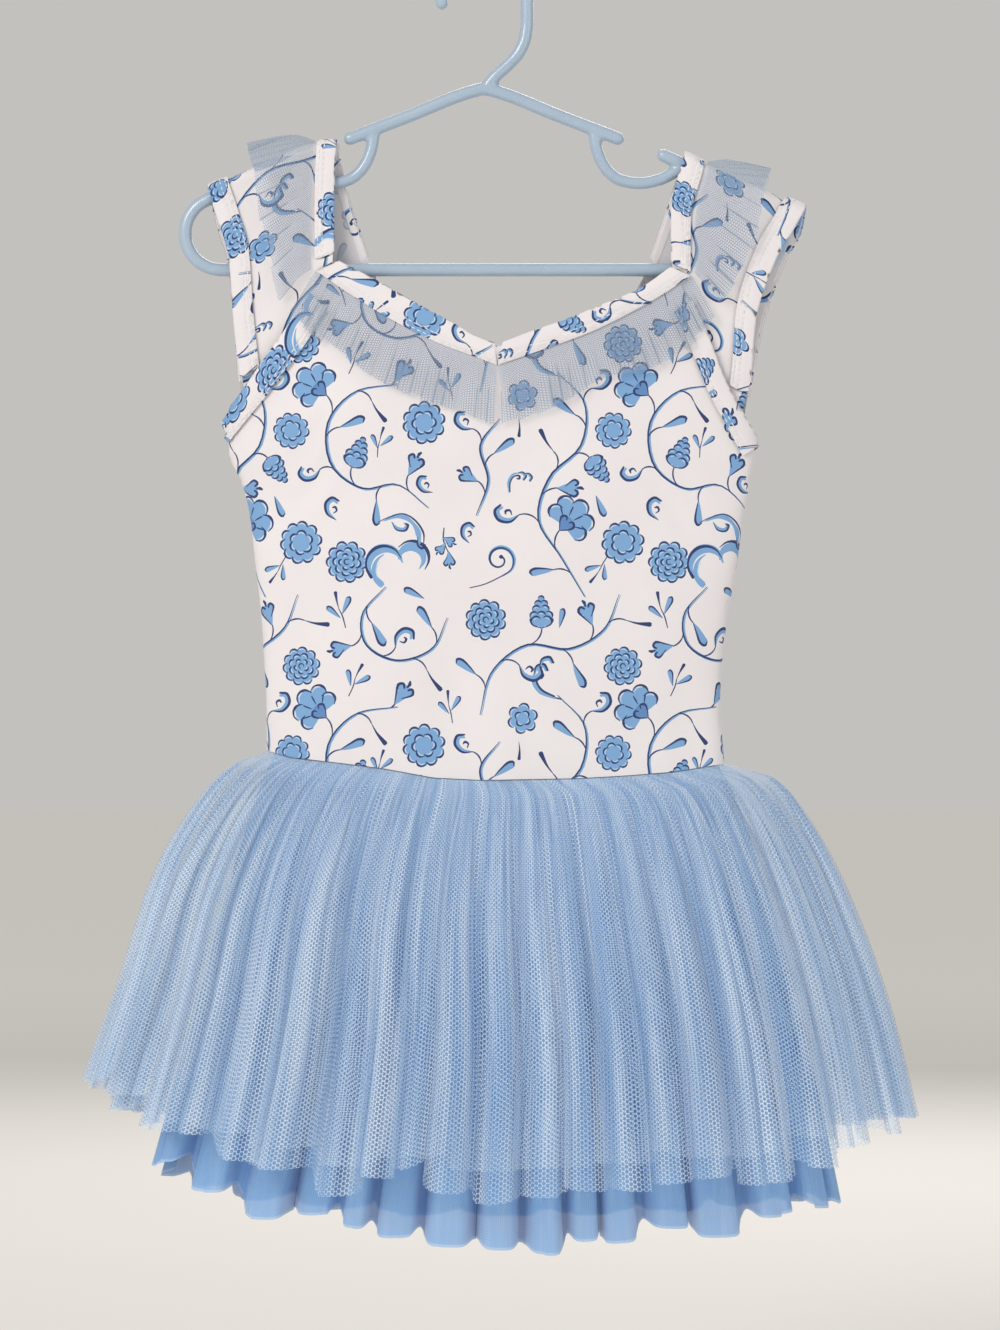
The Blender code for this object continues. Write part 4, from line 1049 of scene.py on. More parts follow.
def inside(polygon, points):
    """Which points lie inside a polygon."""
    x, y = points[:, 0], points[:, 1]
    held = np.zeros(len(points), bool)
    for (ax, ay), (bx, by) in zip(polygon, np.roll(polygon, -1, axis=0)):
        if ay == by:
            continue
        crosses = (ay > y) != (by > y)
        held ^= crosses & (x < (bx - ax) * (y - ay) / (by - ay) + ax)
    return held


def signed_area(polygon):
    x, y = polygon[:, 0], polygon[:, 1]
    return float(np.sum(x * np.roll(y, -1) - np.roll(x, -1) * y)) / 2


def flat_mesh(polygon, spacing, start):
    """Cuts a flat piece into triangles that follow its print: points, faces and colours."""
    low, high = polygon.min(axis=0), polygon.max(axis=0)
    columns = np.arange(low[0] + spacing[0] / 2, high[0], spacing[0])
    rows = np.arange(low[1] + spacing[1] / 2, high[1], spacing[1])
    lattice = np.stack(np.meshgrid(columns, rows), axis=-1).reshape(-1, 2)
    lattice = lattice[inside(polygon, lattice)]
    shapes = [(polygon, WHITE)] + tiled_motifs(polygon, start)
    verts, polygons = [], []
    for points, _ in shapes:
        points = points if signed_area(points) > 0 else points[::-1]
        polygons.append(list(range(len(verts), len(verts) + len(points))))
        verts += [Vector(point) for point in points]
    verts += [Vector(point) for point in lattice]
    result = delaunay_2d_cdt(verts, [], polygons, TRIANGLES_ONLY, WELD, True)
    kept = [k for k, owners in enumerate(result[5]) if 0 in owners]
    faces = np.array([result[2][k] for k in kept])
    colours = np.array([shapes[max(result[5][k])][1] for k in kept])
    used, renumbered = np.unique(faces, return_inverse=True)
    points = np.array([tuple(result[0][k]) for k in used])
    return points, renumbered.reshape(faces.shape), colours


def cloth_piece(name, polygon, lay, spacing, wall, finishes, start):
    """A printed two-sided cloth: a flat piece laid in place, with its wall inwards."""
    flat, faces, colours = flat_mesh(polygon, spacing, start)
    step_u, step_v = np.array([SLOPE_REACH, 0]), np.array([0, SLOPE_REACH])
    points = lay(flat)
    normals = np.cross(lay(flat + step_u) - lay(flat - step_u),
                       lay(flat + step_v) - lay(flat - step_v))
    normals /= np.maximum(np.linalg.norm(normals, axis=1, keepdims=True), 1e-9)
    count = len(points)
    rim = open_edges(faces)
    sides = np.stack([rim[:, 1], rim[:, 0], rim[:, 0] + count, rim[:, 1] + count], axis=1)
    every_face = faces.tolist() + (faces[:, ::-1] + count).tolist() + sides.tolist()
    piece = mesh_piece(name + "_cloth", np.concatenate([points, points - normals * wall]),
                       every_face, finishes)
    data = piece.data
    rim_colours = np.full((len(sides), 3), WHITE)
    paint(data, "print", np.concatenate([colours, colours, rim_colours]))
    backs = np.zeros(len(every_face), np.int32)
    backs[len(faces):2 * len(faces)] = 1
    data.polygons.foreach_set("material_index", backs)
    data.normals_split_custom_set_from_vertices(np.concatenate([normals, -normals]).tolist())
    set_uv(data, np.concatenate([flat, flat]) * MM)
    low, high = polygon.min(axis=0), polygon.max(axis=0)
    return piece, Cut(*((high - low) * MM), abs(signed_area(polygon)) * MM * MM)


def declare(piece, node, cut, rests_on=()):
    """Hides the solid that a sheet of cloth stands for. Its cut is not used."""
    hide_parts(node)
    list(rests_on)


# Bodice

LEVELS = 90
ANGLES = 181
EDGE_COLUMNS = 121
SIDE_ROWS = 38
LATTICE = 4.0
SEARCH_STEPS = 60
SEARCH_SHARE = 0.4
MIDDLE_HEIGHT = -230.0


class Panel:
    """A front or back of the bodice. Its flat cloth is (s, z), as seen from outside, with s along
    the cloth from x = 0."""

    def __init__(self, face, edge):
        self.face = face
        self.edge = edge
        self.side = {"front": 1, "back": -1}[face]
        self.levels = np.linspace(BODY[0].z, edge_top(edge) + 2, LEVELS)
        self.angles = np.linspace(-math.pi / 2, math.pi / 2, ANGLES)
        self.along = np.array([self.lengths(z) for z in self.levels])

    def lengths(self, z):
        x = outline_x(self.angles, z)
        y = depth(x, np.full_like(x, z), self.face)
        length = lengths_along(np.stack([x, y], axis=1))
        return length - np.interp(0.0, x, length)

    def level(self, z):
        at = np.clip((z - self.levels[0]) / (self.levels[1] - self.levels[0]), 0, LEVELS - 1.001)
        return at.astype(int), at - at.astype(int)

    def flat(self, angle, z):
        """s for points given by angle and height."""
        k, share = self.level(z)
        places = [np.interp(a, self.angles, self.along[i] * (1 - w) + self.along[i + 1] * w)
                  for a, i, w in zip(angle, k, share)]
        return np.array(places)

    def angle(self, s, z):
        k, share = self.level(z)
        found = np.zeros(len(s))
        for i in np.unique(k):
            here = k == i
            low = np.interp(s[here], self.along[i], self.angles)
            high = np.interp(s[here], self.along[i + 1], self.angles)
            found[here] = low * (1 - share[here]) + high * share[here]
        return found

    def polygon(self):
        angles = np.linspace(-math.pi / 2, math.pi / 2, EDGE_COLUMNS)
        corners = [math.asin(share) for share in self.corner_shares()]
        angles = np.sort(np.concatenate([angles, corners]))
        low = meeting_height(angles, waist_height)
        high = meeting_height(angles, self.edge_height)
        side = np.linspace(0, 1, SIDE_ROWS + 2)[1:-1]
        right_z = high[-1] + (low[-1] - high[-1]) * side
        left_z = low[0] + (high[0] - low[0]) * side
        turn = [angles, np.full(SIDE_ROWS, math.pi / 2), angles[::-1],
                np.full(SIDE_ROWS, -math.pi / 2)]
        z = np.concatenate([high, right_z, low[::-1], left_z])
        return np.stack([self.side * self.flat(np.concatenate(turn), z), z], axis=1)

    def corner_shares(self):
        for x, z in self.edge[1:-1]:
            left, right = column(BODY, "left", z, "z"), column(BODY, "right", z, "z")
            yield float((2 * x - left - right) / (right - left))

    def edge_height(self, x):
        return np.interp(x, [p[0] for p in self.edge], [p[1] for p in self.edge])

    def lay(self, flat):
        z = flat[:, 1]
        x = outline_x(self.angle(self.side * flat[:, 0], z), z)
        out = depth(x, z, self.face) + crease(x, z, self.face)
        return np.stack([x, -self.side * out, z], axis=1)


def edge_top(edge):
    return max(z for _, z in edge)


def outline_x(angle, z):
    left, right = column(BODY, "left", z, "z"), column(BODY, "right", z, "z")
    return (left + right) / 2 + (right - left) / 2 * np.sin(angle)


def meeting_height(angle, height_at):
    """Where columns of the bodice at these angles meet a curve of heights."""
    z = height_at(outline_x(angle, np.full_like(angle, MIDDLE_HEIGHT)))
    for _ in range(SEARCH_STEPS):
        z = z + SEARCH_SHARE * (height_at(outline_x(angle, z)) - z)
    return z


def crease(x, z, face):
    """Soft uneven creases of the hanging bodice: low undulations and drags below the arms."""
    seed = {"front": 11, "back": 12}[face]
    edge = np.clip(np.minimum(x + 112, 122 - x) / 26, 0, 1)
    low = eased((-330 - z) / 70) * 1.1 * uneven(x + 0.12 * z, 21, seed)
    under_left = np.exp(-(((x + 96) / 20) ** 2 + ((z + 262) / 30) ** 2))
    under_right = np.exp(-(((x - 108) / 20) ** 2 + ((z + 268) / 30) ** 2))
    drag = (under_left + under_right) * 1.3 * uneven(z * 0.8 + np.abs(x), 11, seed + 4)
    return eased(edge) * (low + drag + 0.5 * uneven(x * 0.7 - z, 34, seed + 8))


def make_bodice(name, face, edge, start, finishes):
    panel = Panel(face, edge)
    piece, cut = cloth_piece(name, panel.polygon(), panel.lay, (LATTICE, LATTICE), KNIT_WALL,
                             finishes, start)
    declare(piece, name, cut)


# Straps


def over_arm(line, step):
    """The line's points at even t, from its front end to its back end."""
    stops = np.linspace(line[0, 1], line[-1, 1], int((line[-1, 1] - line[0, 1]) / step) + 1)
    return np.stack([smooth_read(line[:, 1], line[:, 0], stops), stops], axis=1)


def make_strap(side, start, finishes):
    outer = over_arm(flat_edge(STRAPS[side], "outer_x", "outer_z"), LATTICE)
    inner = over_arm(flat_edge(STRAPS[side], "inner_x", "inner_z"), LATTICE)
    polygon = np.concatenate([outer, inner[::-1]])

    def lay(flat):
        return laid(flat[:, 0], flat[:, 1], np.full(len(flat), -STRAP_DEPTH))

    piece, cut = cloth_piece("strap_" + side, polygon, lay, (LATTICE, LATTICE / 2), KNIT_WALL,
                             finishes, start)
    declare(piece, "strap_" + side, cut, ["hanger"])


# Bindings

STITCH_ROWS = (1.6, 4.0)
STITCH_PITCH = 3.1
STITCH_LENGTH = 2.1
STITCH_RADIUS = 0.3
PUFF = 0.6
GROOVE = 0.45
BACK_DROP = 2.5
SEAM_DROP = 0.15
GROOVE_WIDTH = 0.6
TUCK = 1.0
STRIP_STEPS = 60
NECK_TURN_UNDER = 4.0
STRAP_TURN_UNDER = 5.0
THREAD_SIDES = 6


class Binding:
    """A folded strip between its outer edge and its seam, both lines of flat (x, t).

    Its own flat cloth is (length, width): it starts at the seam, crosses the top, rounds the
    outer edge and ends wrap millimetres in on the back."""

    def __init__(self, name, edge, seam, out, wrap):
        along = edge[-1] - edge[0]
        over = edge[len(edge) // 2] - seam[len(seam) // 2]
        if along[0] * over[1] - along[1] * over[0] < 0:
            edge, seam = edge[::-1], seam[::-1]
        self.name = name
        self.edge = edge
        self.seam = seam
        self.out = out
        self.wrap = wrap
        self.length = lengths_along((edge + seam) / 2)[-1]
        self.across = float(np.mean(np.linalg.norm(edge - seam, axis=1)))
        self.full = self.across + (wrap + TUCK if wrap else 0.0)

    def lay(self, flat):
        share = np.clip(flat[:, 0] / self.length, 0, 1)
        width = flat[:, 1]
        shares = np.linspace(0, 1, len(self.edge))
        first = np.stack([np.interp(share, shares, self.seam[:, k]) for k in (0, 1)], axis=1)
        second = np.stack([np.interp(share, shares, self.edge[:, k]) for k in (0, 1)], axis=1)
        on_top = np.clip(width / self.across, 0, 1)
        back = np.clip((width - self.across) / max(self.full - self.across, 1.0), 0, 1)
        reach = on_top - back * self.wrap / self.across
        place = first + (second - first) * reach[:, None]
        level = self.out + PUFF * np.sqrt(np.sin(math.pi * on_top))
        level = level - SEAM_DROP * (1 - eased(width / 1.2))
        for row in STITCH_ROWS:
            level = level - GROOVE * np.exp(-((width - row) / GROOVE_WIDTH) ** 2)
        level = level - BACK_DROP * eased(back * 3)
        level = level + 0.18 * uneven(flat[:, 0], 5.5, len(self.name)) * np.sin(math.pi * on_top)
        return laid(place[:, 0], place[:, 1], level)

    def make(self, start, finishes, rests_on):
        along = np.linspace(0, self.length, max(int(self.length / LATTICE), 4))
        polygon = np.concatenate([np.stack([along, np.zeros_like(along)], axis=1),
                                  np.stack([along[::-1], np.full_like(along, self.full)], axis=1)])
        piece, cut = cloth_piece(self.name, polygon, self.lay, (LATTICE, 0.9), EDGE_WALL, finishes,
                                 start)
        declare(piece, self.name, cut, rests_on)
        return self

    def stitches(self):
        """Both ends of every topstitch, and the way out of the cloth there."""
        starts = np.arange(STITCH_PITCH / 2, self.length - STITCH_PITCH, STITCH_PITCH)
        for row in STITCH_ROWS:
            sway = row + 0.12 * uneven(starts, 9.0, 3 + len(self.name))
            first = self.lay(np.stack([starts, sway], axis=1))
            second = self.lay(np.stack([starts + STITCH_LENGTH, sway], axis=1))
            beside = self.lay(np.stack([starts, sway + 0.3], axis=1)) - first
            out = np.cross(second - first, beside)
            out /= np.linalg.norm(out, axis=1, keepdims=True)
            yield from zip(first, second, out)


def topstitching(bindings, finish):
    """Every topstitch, as a short thread that dips into the cloth at both ends."""
    points, faces = [], []
    profile = ((0.0, 0.3), (0.18, 0.85), (0.5, 1.0), (0.82, 0.85), (1.0, 0.3))
    around = np.radians(np.arange(THREAD_SIDES) * 360.0 / THREAD_SIDES)
    for binding in bindings:
        for first, second, out in binding.stitches():
            side = np.cross(second - first, out)
            side /= np.linalg.norm(side)
            base = len(points)
            for share, size in profile:
                middle = first + (second - first) * share + out * (0.26 * size - 0.02)
                for turn in around:
                    points.append(middle + STITCH_RADIUS * size * (math.cos(turn) * side
                                                                   + math.sin(turn) * out))
            for ring in range(len(profile) - 1):
                low = base + ring * THREAD_SIDES
                for k in range(THREAD_SIDES):
                    a, b = low + k, low + (k + 1) % THREAD_SIDES
                    faces.append((a, b, b + THREAD_SIDES, a + THREAD_SIDES))
            last = base + (len(profile) - 1) * THREAD_SIDES
            faces.append(tuple(range(base + THREAD_SIDES - 1, base - 1, -1)))
            faces.append(tuple(range(last, last + THREAD_SIDES)))
    mesh_piece("topstitching", points, faces, [finish])


def strap_binding(name, side, which):
    outer = flat_edge(STRAPS[side], "outer_x", "outer_z")
    inner = flat_edge(STRAPS[side], "inner_x", "inner_z")
    line, other = (inner, outer) if which == "inner" else (outer, inner)
    inward = np.sign(other[0, 0] - line[0, 0])
    ends = BINDING_ENDS[side][which]
    start = float(along_cloth("front", *ends[0]))
    stop = float(along_cloth("back", *ends[1]))
    stops = np.linspace(start, stop, int((stop - start) / 2.0))
    edge_x = smooth_read(line[:, 1], line[:, 0], stops) - SEAM_SHOW * inward
    slope = np.gradient(edge_x, stops)
    width = BINDING_WIDTH * inward / np.hypot(1, slope)
    edge = np.stack([edge_x, stops], axis=1)
    seam = np.stack([edge_x + width, stops - width * slope], axis=1)
    return Binding(name, edge, seam, ON_STRAP, STRAP_TURN_UNDER)


def strip_binding(name, face, rows, out, wrap):
    upper = resampled([(row.upper_x, row.upper_z) for row in rows], STRIP_STEPS)
    lower = resampled([(row.lower_x, row.lower_z) for row in rows], STRIP_STEPS)
    upper[:, 1] = along_cloth(face, upper[:, 0], upper[:, 1])
    lower[:, 1] = along_cloth(face, lower[:, 0], lower[:, 1])
    return Binding(name, upper, lower, out, wrap)


# Ruffles


def grid_faces(rows, columns, ring=False):
    r, c = np.meshgrid(np.arange(rows - 1), np.arange(columns if ring else columns - 1),
                       indexing="ij")
    following = (c + 1) % columns
    return np.stack([r * columns + c, r * columns + following,
                     (r + 1) * columns + following, (r + 1) * columns + c],
                    axis=-1).reshape(-1, 4)


def grid_piece(name, grid, uv, finish, ring=False):
    """A single cloth layer from a grid of points in millimetres."""
    rows, columns = grid.shape[:2]
    piece = mesh_piece(name + "_cloth", grid.reshape(-1, 3),
                       grid_faces(rows, columns, ring).tolist(), [finish])
    data = piece.data
    layer = data.uv_layers.new(name="cloth")
    r, c = np.meshgrid(np.arange(rows - 1), np.arange(uv.shape[1] - 1), indexing="ij")
    corners = np.stack([uv[r, c], uv[r, c + 1], uv[r + 1, c + 1], uv[r + 1, c]], axis=2)
    layer.data.foreach_set("uv", (corners.reshape(-1, 2) * MM).astype(np.float32).ravel())
    return piece


PLEAT_OVERLAP = 1.5
EDGE_STEP = 1.3
EDGE_WAVER = 0.5
RUFFLE_ROWS = 22
RUFFLE_SEAM_STEPS = 340


def ruffle(name, seam, edge, gathers, first_out, finish, seed, rests_on):
    """Tulle gathered along its seam, its uneven waves growing towards the raw edge."""
    share = np.linspace(0, 1, RUFFLE_ROWS)[None, :]
    length = lengths_along((seam + edge) / 2)[:, None]
    pitch = length[-1, 0] / gathers
    bent = length + pitch * 0.35 * uneven(length, pitch * 1.7, seed)
    sway = pitch * 0.22 * share * uneven(length, pitch * 2.3, seed + 1)
    wave = np.cos(2 * math.pi * (bent + sway) / pitch)
    size = 1.15 + 0.55 * uneven(length, pitch * 1.3, seed + 2)
    fine = np.cos(2 * math.pi * length / (pitch * 0.31) + 3 * uneven(length, pitch, seed + 3))
    turned = PLEAT_OVERLAP * pitch * np.sin(2 * math.pi * (bent + sway) / pitch) / (2 * math.pi)
    moved = length + turned * eased(share * 1.6)
    lines = [[np.interp(moved, length[:, 0], line[:, k]) for k in (0, 1)] for line in (seam, edge)]
    first, second = (np.stack(line, axis=-1) for line in lines)
    away = (second - first) / np.linalg.norm(second - first, axis=-1, keepdims=True)
    ragged = EDGE_STEP * stepped((bent + sway) / pitch + 0.5, seed + 4)
    ragged = ragged + EDGE_WAVER * uneven(length, 3.0, seed + 5)
    flat = first + (second - first) * share[..., None] + away * (ragged * share**2)[..., None]
    fold = np.clip(1 - np.abs(flat[..., 1] - FOLD_LENGTH / 2) / (3 * FOLD_LENGTH), 0, 1)
    lift = (RUFFLE_LIFT - first_out) * eased(share * 3) + SHOULDER_LIFT * eased(fold) * share
    waves = size * (1 + wave) * eased(share * 1.5) * 0.95
    out = first_out + lift + waves + 0.35 * (1 + fine) * (1 - eased(share * 1.6)) * eased(share * 8)
    grid = laid(flat[..., 0], flat[..., 1], out)
    measured = np.linalg.norm(np.diff(grid, axis=0), axis=2).sum(axis=0)
    wide = float(measured.max())
    down = np.linalg.norm(np.diff(grid, axis=1), axis=2).sum(axis=1)
    long = float(down.mean())
    uv = np.stack(np.broadcast_arrays(length / length[-1, 0] * wide, (share - 1) * long), axis=-1)
    piece = grid_piece(name, grid, uv, finish)
    declare(piece, name, Cut(wide * MM, long * MM, wide * long * MM * MM), rests_on)


def make_ruffles(side, finish):
    rows = {"left": NECK_LEFT, "right": NECK_RIGHT}[side]
    upper = np.array([(row.upper_x, row.upper_z) for row in rows])
    lower = np.array([(row.lower_x, row.lower_z) for row in rows])
    away = (lower - upper) / np.linalg.norm(lower - upper, axis=1, keepdims=True)
    seam = resampled(lower + away * SEAM_BELOW_BINDING, RUFFLE_SEAM_STEPS)
    edge = resampled(np.array(FRONT_RUFFLE_EDGES[side], float), RUFFLE_SEAM_STEPS)
    for line in (seam, edge):
        line[:, 1] -= shoulder(line[:, 0])
    ruffle("ruffle_front_" + side, seam, edge, 17, ON_BODICE + 0.1, finish,
           {"left": 31, "right": 41}[side], ["bodice_front"])
    seam = over_arm(flat_edge(STRAP_RUFFLES[side], "seam_x", "seam_z"), 0.4)
    edge = flat_edge(STRAP_RUFFLES[side], "edge_x", "edge_z")
    stops = np.linspace(edge[0, 1], edge[-1, 1], len(seam))
    edge = np.stack([smooth_read(edge[:, 1], edge[:, 0], stops), stops], axis=1)
    ruffle("ruffle_strap_" + side, seam, edge, 12, ON_STRAP + 0.1, finish,
           {"left": 51, "right": 61}[side], ["strap_" + side])


# Skirt


HEM_STEP = 1.1
Lift = namedtuple("Lift", "x height width")


def fold_crests(folds, row, back_count):
    """Fold crests round the skirt: (angle, hem height, depth) of each."""
    middle, half = (row.left + row.right) / 2, (row.right - row.left) / 2
    crests = [(math.asin((fold.x - middle) / half), fold.hem, fold.depth) for fold in folds]
    first, last = crests[0], crests[-1]
    span = 2 * math.pi - (last[0] - first[0])
    mean_depth = BACK_FOLD_DEPTH * sum(fold.depth for fold in folds) / len(folds)
    lowest = min(fold.hem for fold in folds)
    for k in range(1, back_count + 1):
        share = k / (back_count + 1)
        drop = eased(1 - abs(2 * share - 1))
        side_hem = last[1] + (first[1] - last[1]) * share
        hem = side_hem + (lowest + 12 - side_hem) * float(drop)
        crests.append((last[0] + span * share, hem, mean_depth))
    return crests


def ring_place(angle, left, right, front, back):
    side = np.cos(angle)
    reach = np.where(side > 0, front, back)
    x = (left + right) / 2 + (right - left) / 2 * np.sin(angle)
    return np.stack([x, -np.sign(side) * reach * np.abs(side) ** RING_FULLNESS], axis=-1)


def ring_point(angle, row):
    """Points of a skirt's ring, and their outward directions in plan."""
    turn = 0.02
    way = (ring_place(angle + turn, *row) - ring_place(angle - turn, *row))
    outward = np.stack([way[..., 1], -way[..., 0]], axis=-1)
    return ring_place(angle, *row), outward / np.linalg.norm(outward, axis=-1, keepdims=True)


SkirtMake = namedtuple("SkirtMake", "columns rows pipe square valley rise step tilt lean smaller "
                       "small_depth finer fine_depth lifts")


def make_skirt(name, rows, folds, back_count, make, finish, seed, rests_on):
    """A gathered layer: pipe-like folds, smaller ones between, and fine gathers at the waist."""
    crests = fold_crests(folds, rows[-1], back_count)
    starts = np.array([crest[0] for crest in crests] + [crests[0][0] + 2 * math.pi])
    turn = np.arange(make.columns) / make.columns
    angle = starts[0] + 2 * math.pi * turn
    before = np.clip(np.searchsorted(starts, angle, side="right") - 1, 0, len(crests) - 1)
    widths = np.diff(starts)[before]
    share = (angle - starts[before]) / widths
    after = (before + 1) % len(crests)
    own = np.where(share > 0.5, after, before)
    hems = np.array([crest[1] for crest in crests])
    depths = np.array([crest[2] for crest in crests])
    picks = np.random.default_rng(seed + 6).uniform(-1, 1, (3, len(crests)))
    step = eased((share - 0.5) / make.step + 0.5)
    round_wave = np.cos(2 * math.pi * share)
    wave = np.tanh(make.square * round_wave) / math.tanh(make.square)
    hem = hems[before] * (1 - step) + hems[after] * step + make.rise * (1 - wave) / 2
    hem = hem + make.tilt * picks[0][own] * 2 * (share - np.round(share))
    phase = 2 * math.pi * make.smaller * turn + 2.8 * uneven_round(turn, 47, seed + 2)
    hem = hem + HEM_STEP * stepped(phase / (2 * math.pi) + 0.5, seed + 7)
    hem_x = ring_place(angle, rows[-1].left, rows[-1].right, 1, 1)[:, 0]
    for lift in make.lifts:
        nearness = np.exp(-((hem_x - lift.x) / lift.width) ** 2)
        hem = hem + lift.height * np.where(np.cos(angle) > 0, nearness, 0)
    fold_depth = depths[before] * (1 - step) + depths[after] * step
    pipe = make.pipe * (1 + 0.25 * picks[1][own])
    lean = make.lean * picks[2][own]
    wave = np.where(wave < 0, wave * make.valley, wave)
    down = np.linspace(0, 1, make.rows) ** 1.2
    waist_x = ring_place(angle, rows[0].left, rows[0].right, 1, 1)[:, 0]
    top = waist_height(waist_x) - WAIST_DROP
    grid = np.zeros((make.rows, make.columns, 3))
    for r, d in enumerate(down):
        row = [float(column(rows, part, d, "down")) for part in ("left", "right", "front", "back")]
        fold = float(column(rows, "fold", d, "down"))
        swung = angle + pipe * fold * widths * np.sin(2 * math.pi * share) / (2 * math.pi)
        swung = swung + lean * fold * widths * (1 + round_wave) / 2
        swung = swung + 0.014 * d * uneven_round(turn, 61, seed + 1)
        place, outward = ring_point(swung, row)
        strength = (1 + 0.85 * uneven_round(turn, 71, seed + 3)) * make.small_depth
        strength = strength * eased(d * 5) * (0.3 + 0.7 * fold)
        finer = np.cos(2 * math.pi * make.finer * turn + 2.0 * uneven_round(turn, 90, seed + 4))
        out = fold_depth * wave * fold + strength * np.cos(phase)
        out = out + make.fine_depth * finer * eased(d * 14) * (0.3 + 0.7 * (1 - eased(d * 1.6)))
        sideways = strength * 1.05 * np.sin(phase)
        tangent = np.stack([-outward[:, 1], outward[:, 0]], axis=1)
        grid[r, :, :2] = place + outward * out[:, None] + tangent * sideways[:, None]
        grid[r, :, 2] = top + (hem - top) * d
    closed = np.concatenate([grid, grid[:, :1]], axis=1)
    rings = np.linalg.norm(np.diff(closed, axis=1), axis=2)
    wide = float(rings.sum(axis=1)[-make.rows // 2:].max())
    steps = np.linalg.norm(np.diff(grid, axis=0), axis=2)
    long = float(steps.sum(axis=0).mean())
    shares = np.concatenate([[0], np.cumsum(rings[-1])]) / rings[-1].sum()
    fall = np.concatenate([[0], np.cumsum(steps.mean(axis=1))])
    uv = np.stack(np.broadcast_arrays(shares[None, :] * wide, fall[:, None] - fall[-1]), axis=-1)
    area = float((rings[1:].sum(axis=1) * steps.mean(axis=1)).sum())
    piece = grid_piece(name, grid, uv, finish, ring=True)
    declare(piece, name, Cut(wide * MM, long * MM, max(area, wide * long * 0.5) * MM * MM),
            rests_on)


# Hanger


def in_plane(pairs, side=1):
    """Points of the hanger's plane from (x, z), mirrored where side is -1."""
    return [(side * x, 0.0, z) for x, z in pairs]


def arc(centre, radius, start, end, steps):
    """(x, z) along an arc, its angles in degrees from +X towards +Z."""
    angles = np.radians(np.linspace(start, end, steps))
    return [(centre[0] + radius * math.cos(a), centre[1] + radius * math.sin(a)) for a in angles]


def tube_mesh(mesh, points, radius, closed_ends=True):
    """Adds a round tube with rounded ends through a smooth line to a mesh."""
    line = resampled(np.array(points, float), 140)
    way = np.gradient(line, axis=0)
    way /= np.linalg.norm(way, axis=1, keepdims=True)
    side = np.array([0.0, 1.0, 0.0])
    caps = ((0.0, 0.06), (0.1, 0.42), (0.3, 0.71), (0.6, 0.92), (1.0, 1.0))
    rings = [(line[0] + way[0] * radius * step, way[0], radius * size) for step, size in caps]
    rings += [(line[k], way[k], radius) for k in range(3, len(line) - 3)]
    rings += [(line[-1] - way[-1] * radius * step, way[-1], radius * size)
              for step, size in caps[::-1]]
    around = 20
    loops = []
    for centre, tangent, size in rings:
        second = np.cross(tangent, side)
        loop = []
        for k in range(around):
            a = 2 * math.pi * k / around
            loop.append(mesh.verts.new((centre + size * (math.cos(a) * side
                                                         + math.sin(a) * second)) * MM))
        loops.append(loop)
    for first, second in zip(loops, loops[1:]):
        for k in range(around):
            mesh.faces.new((first[k], first[(k + 1) % around],
                            second[(k + 1) % around], second[k]))
    mesh.faces.new(loops[0][::-1])
    mesh.faces.new(loops[-1])


def make_hanger(finish):
    turn = arc(END_CENTRE, END_RADIUS, 66, -90, 12)
    half = [STUB, (107.0, -108.7), (126.0, -117.2)] + turn
    loop = in_plane(half) + in_plane(half[::-1], -1)
    arms = [(-ARM_END[0], 0, ARM_END[1]), (-40.0, 0, -82.4), (-6.0, 0, APEX_Z - 1.9),
            (0.0, 0, APEX_Z - 0.6), (6.0, 0, APEX_Z - 1.9), (40.0, 0, -82.4),
            (ARM_END[0], 0, ARM_END[1])]
    hook = in_plane(arc((0.0, -HOOK_DROP), HOOK_RADIUS, HOOK_OPEN_FROM, 0, 19)
                    + list(NECK_OF_HOOK))
    mesh = bmesh.new()
    tube_mesh(mesh, loop, TUBE_RADIUS)
    tube_mesh(mesh, arms, TUBE_RADIUS)
    tube_mesh(mesh, hook, HOOK_TUBE_RADIUS)
    tube_mesh(mesh, in_plane(NOTCH), NOTCH_RADIUS)
    tube_mesh(mesh, in_plane(NOTCH, -1), NOTCH_RADIUS)
    bmesh.ops.recalc_face_normals(mesh, faces=mesh.faces)
    data = bpy.data.meshes.new("moulded_hanger")
    mesh.to_mesh(data)
    mesh.free()
    piece = bpy.data.objects.new("moulded_hanger", data)
    PIECES.objects.link(piece)
    data.materials.append(finish)
    remesh = piece.modifiers.new("One moulding", "REMESH")
    remesh.mode = "VOXEL"
    remesh.voxel_size = 0.95 * MM
    remesh.use_smooth_shade = True
    smooth = piece.modifiers.new("Moulded fillets", "SMOOTH")
    smooth.factor = 0.5
    smooth.iterations = 6
    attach(piece, "root")
    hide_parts("hanger")
    return piece


# Everything in its place

KNIT = [knit_finish("printed_knit", False), knit_finish("wrong_side_of_knit_with_painted_shade", True)]
NET_MESH = net_finish()
SOFT = soft_tulle_finish()
SHEER = sheer_finish()

THREAD = thread_finish()
PRINT_STARTS = {"strap_left": (20, 30), "strap_right": (96, 70), "bodice_front": (-12, 8),
                "bodice_back": (50, 60)}
BINDING_START_STEP = (61, 23)

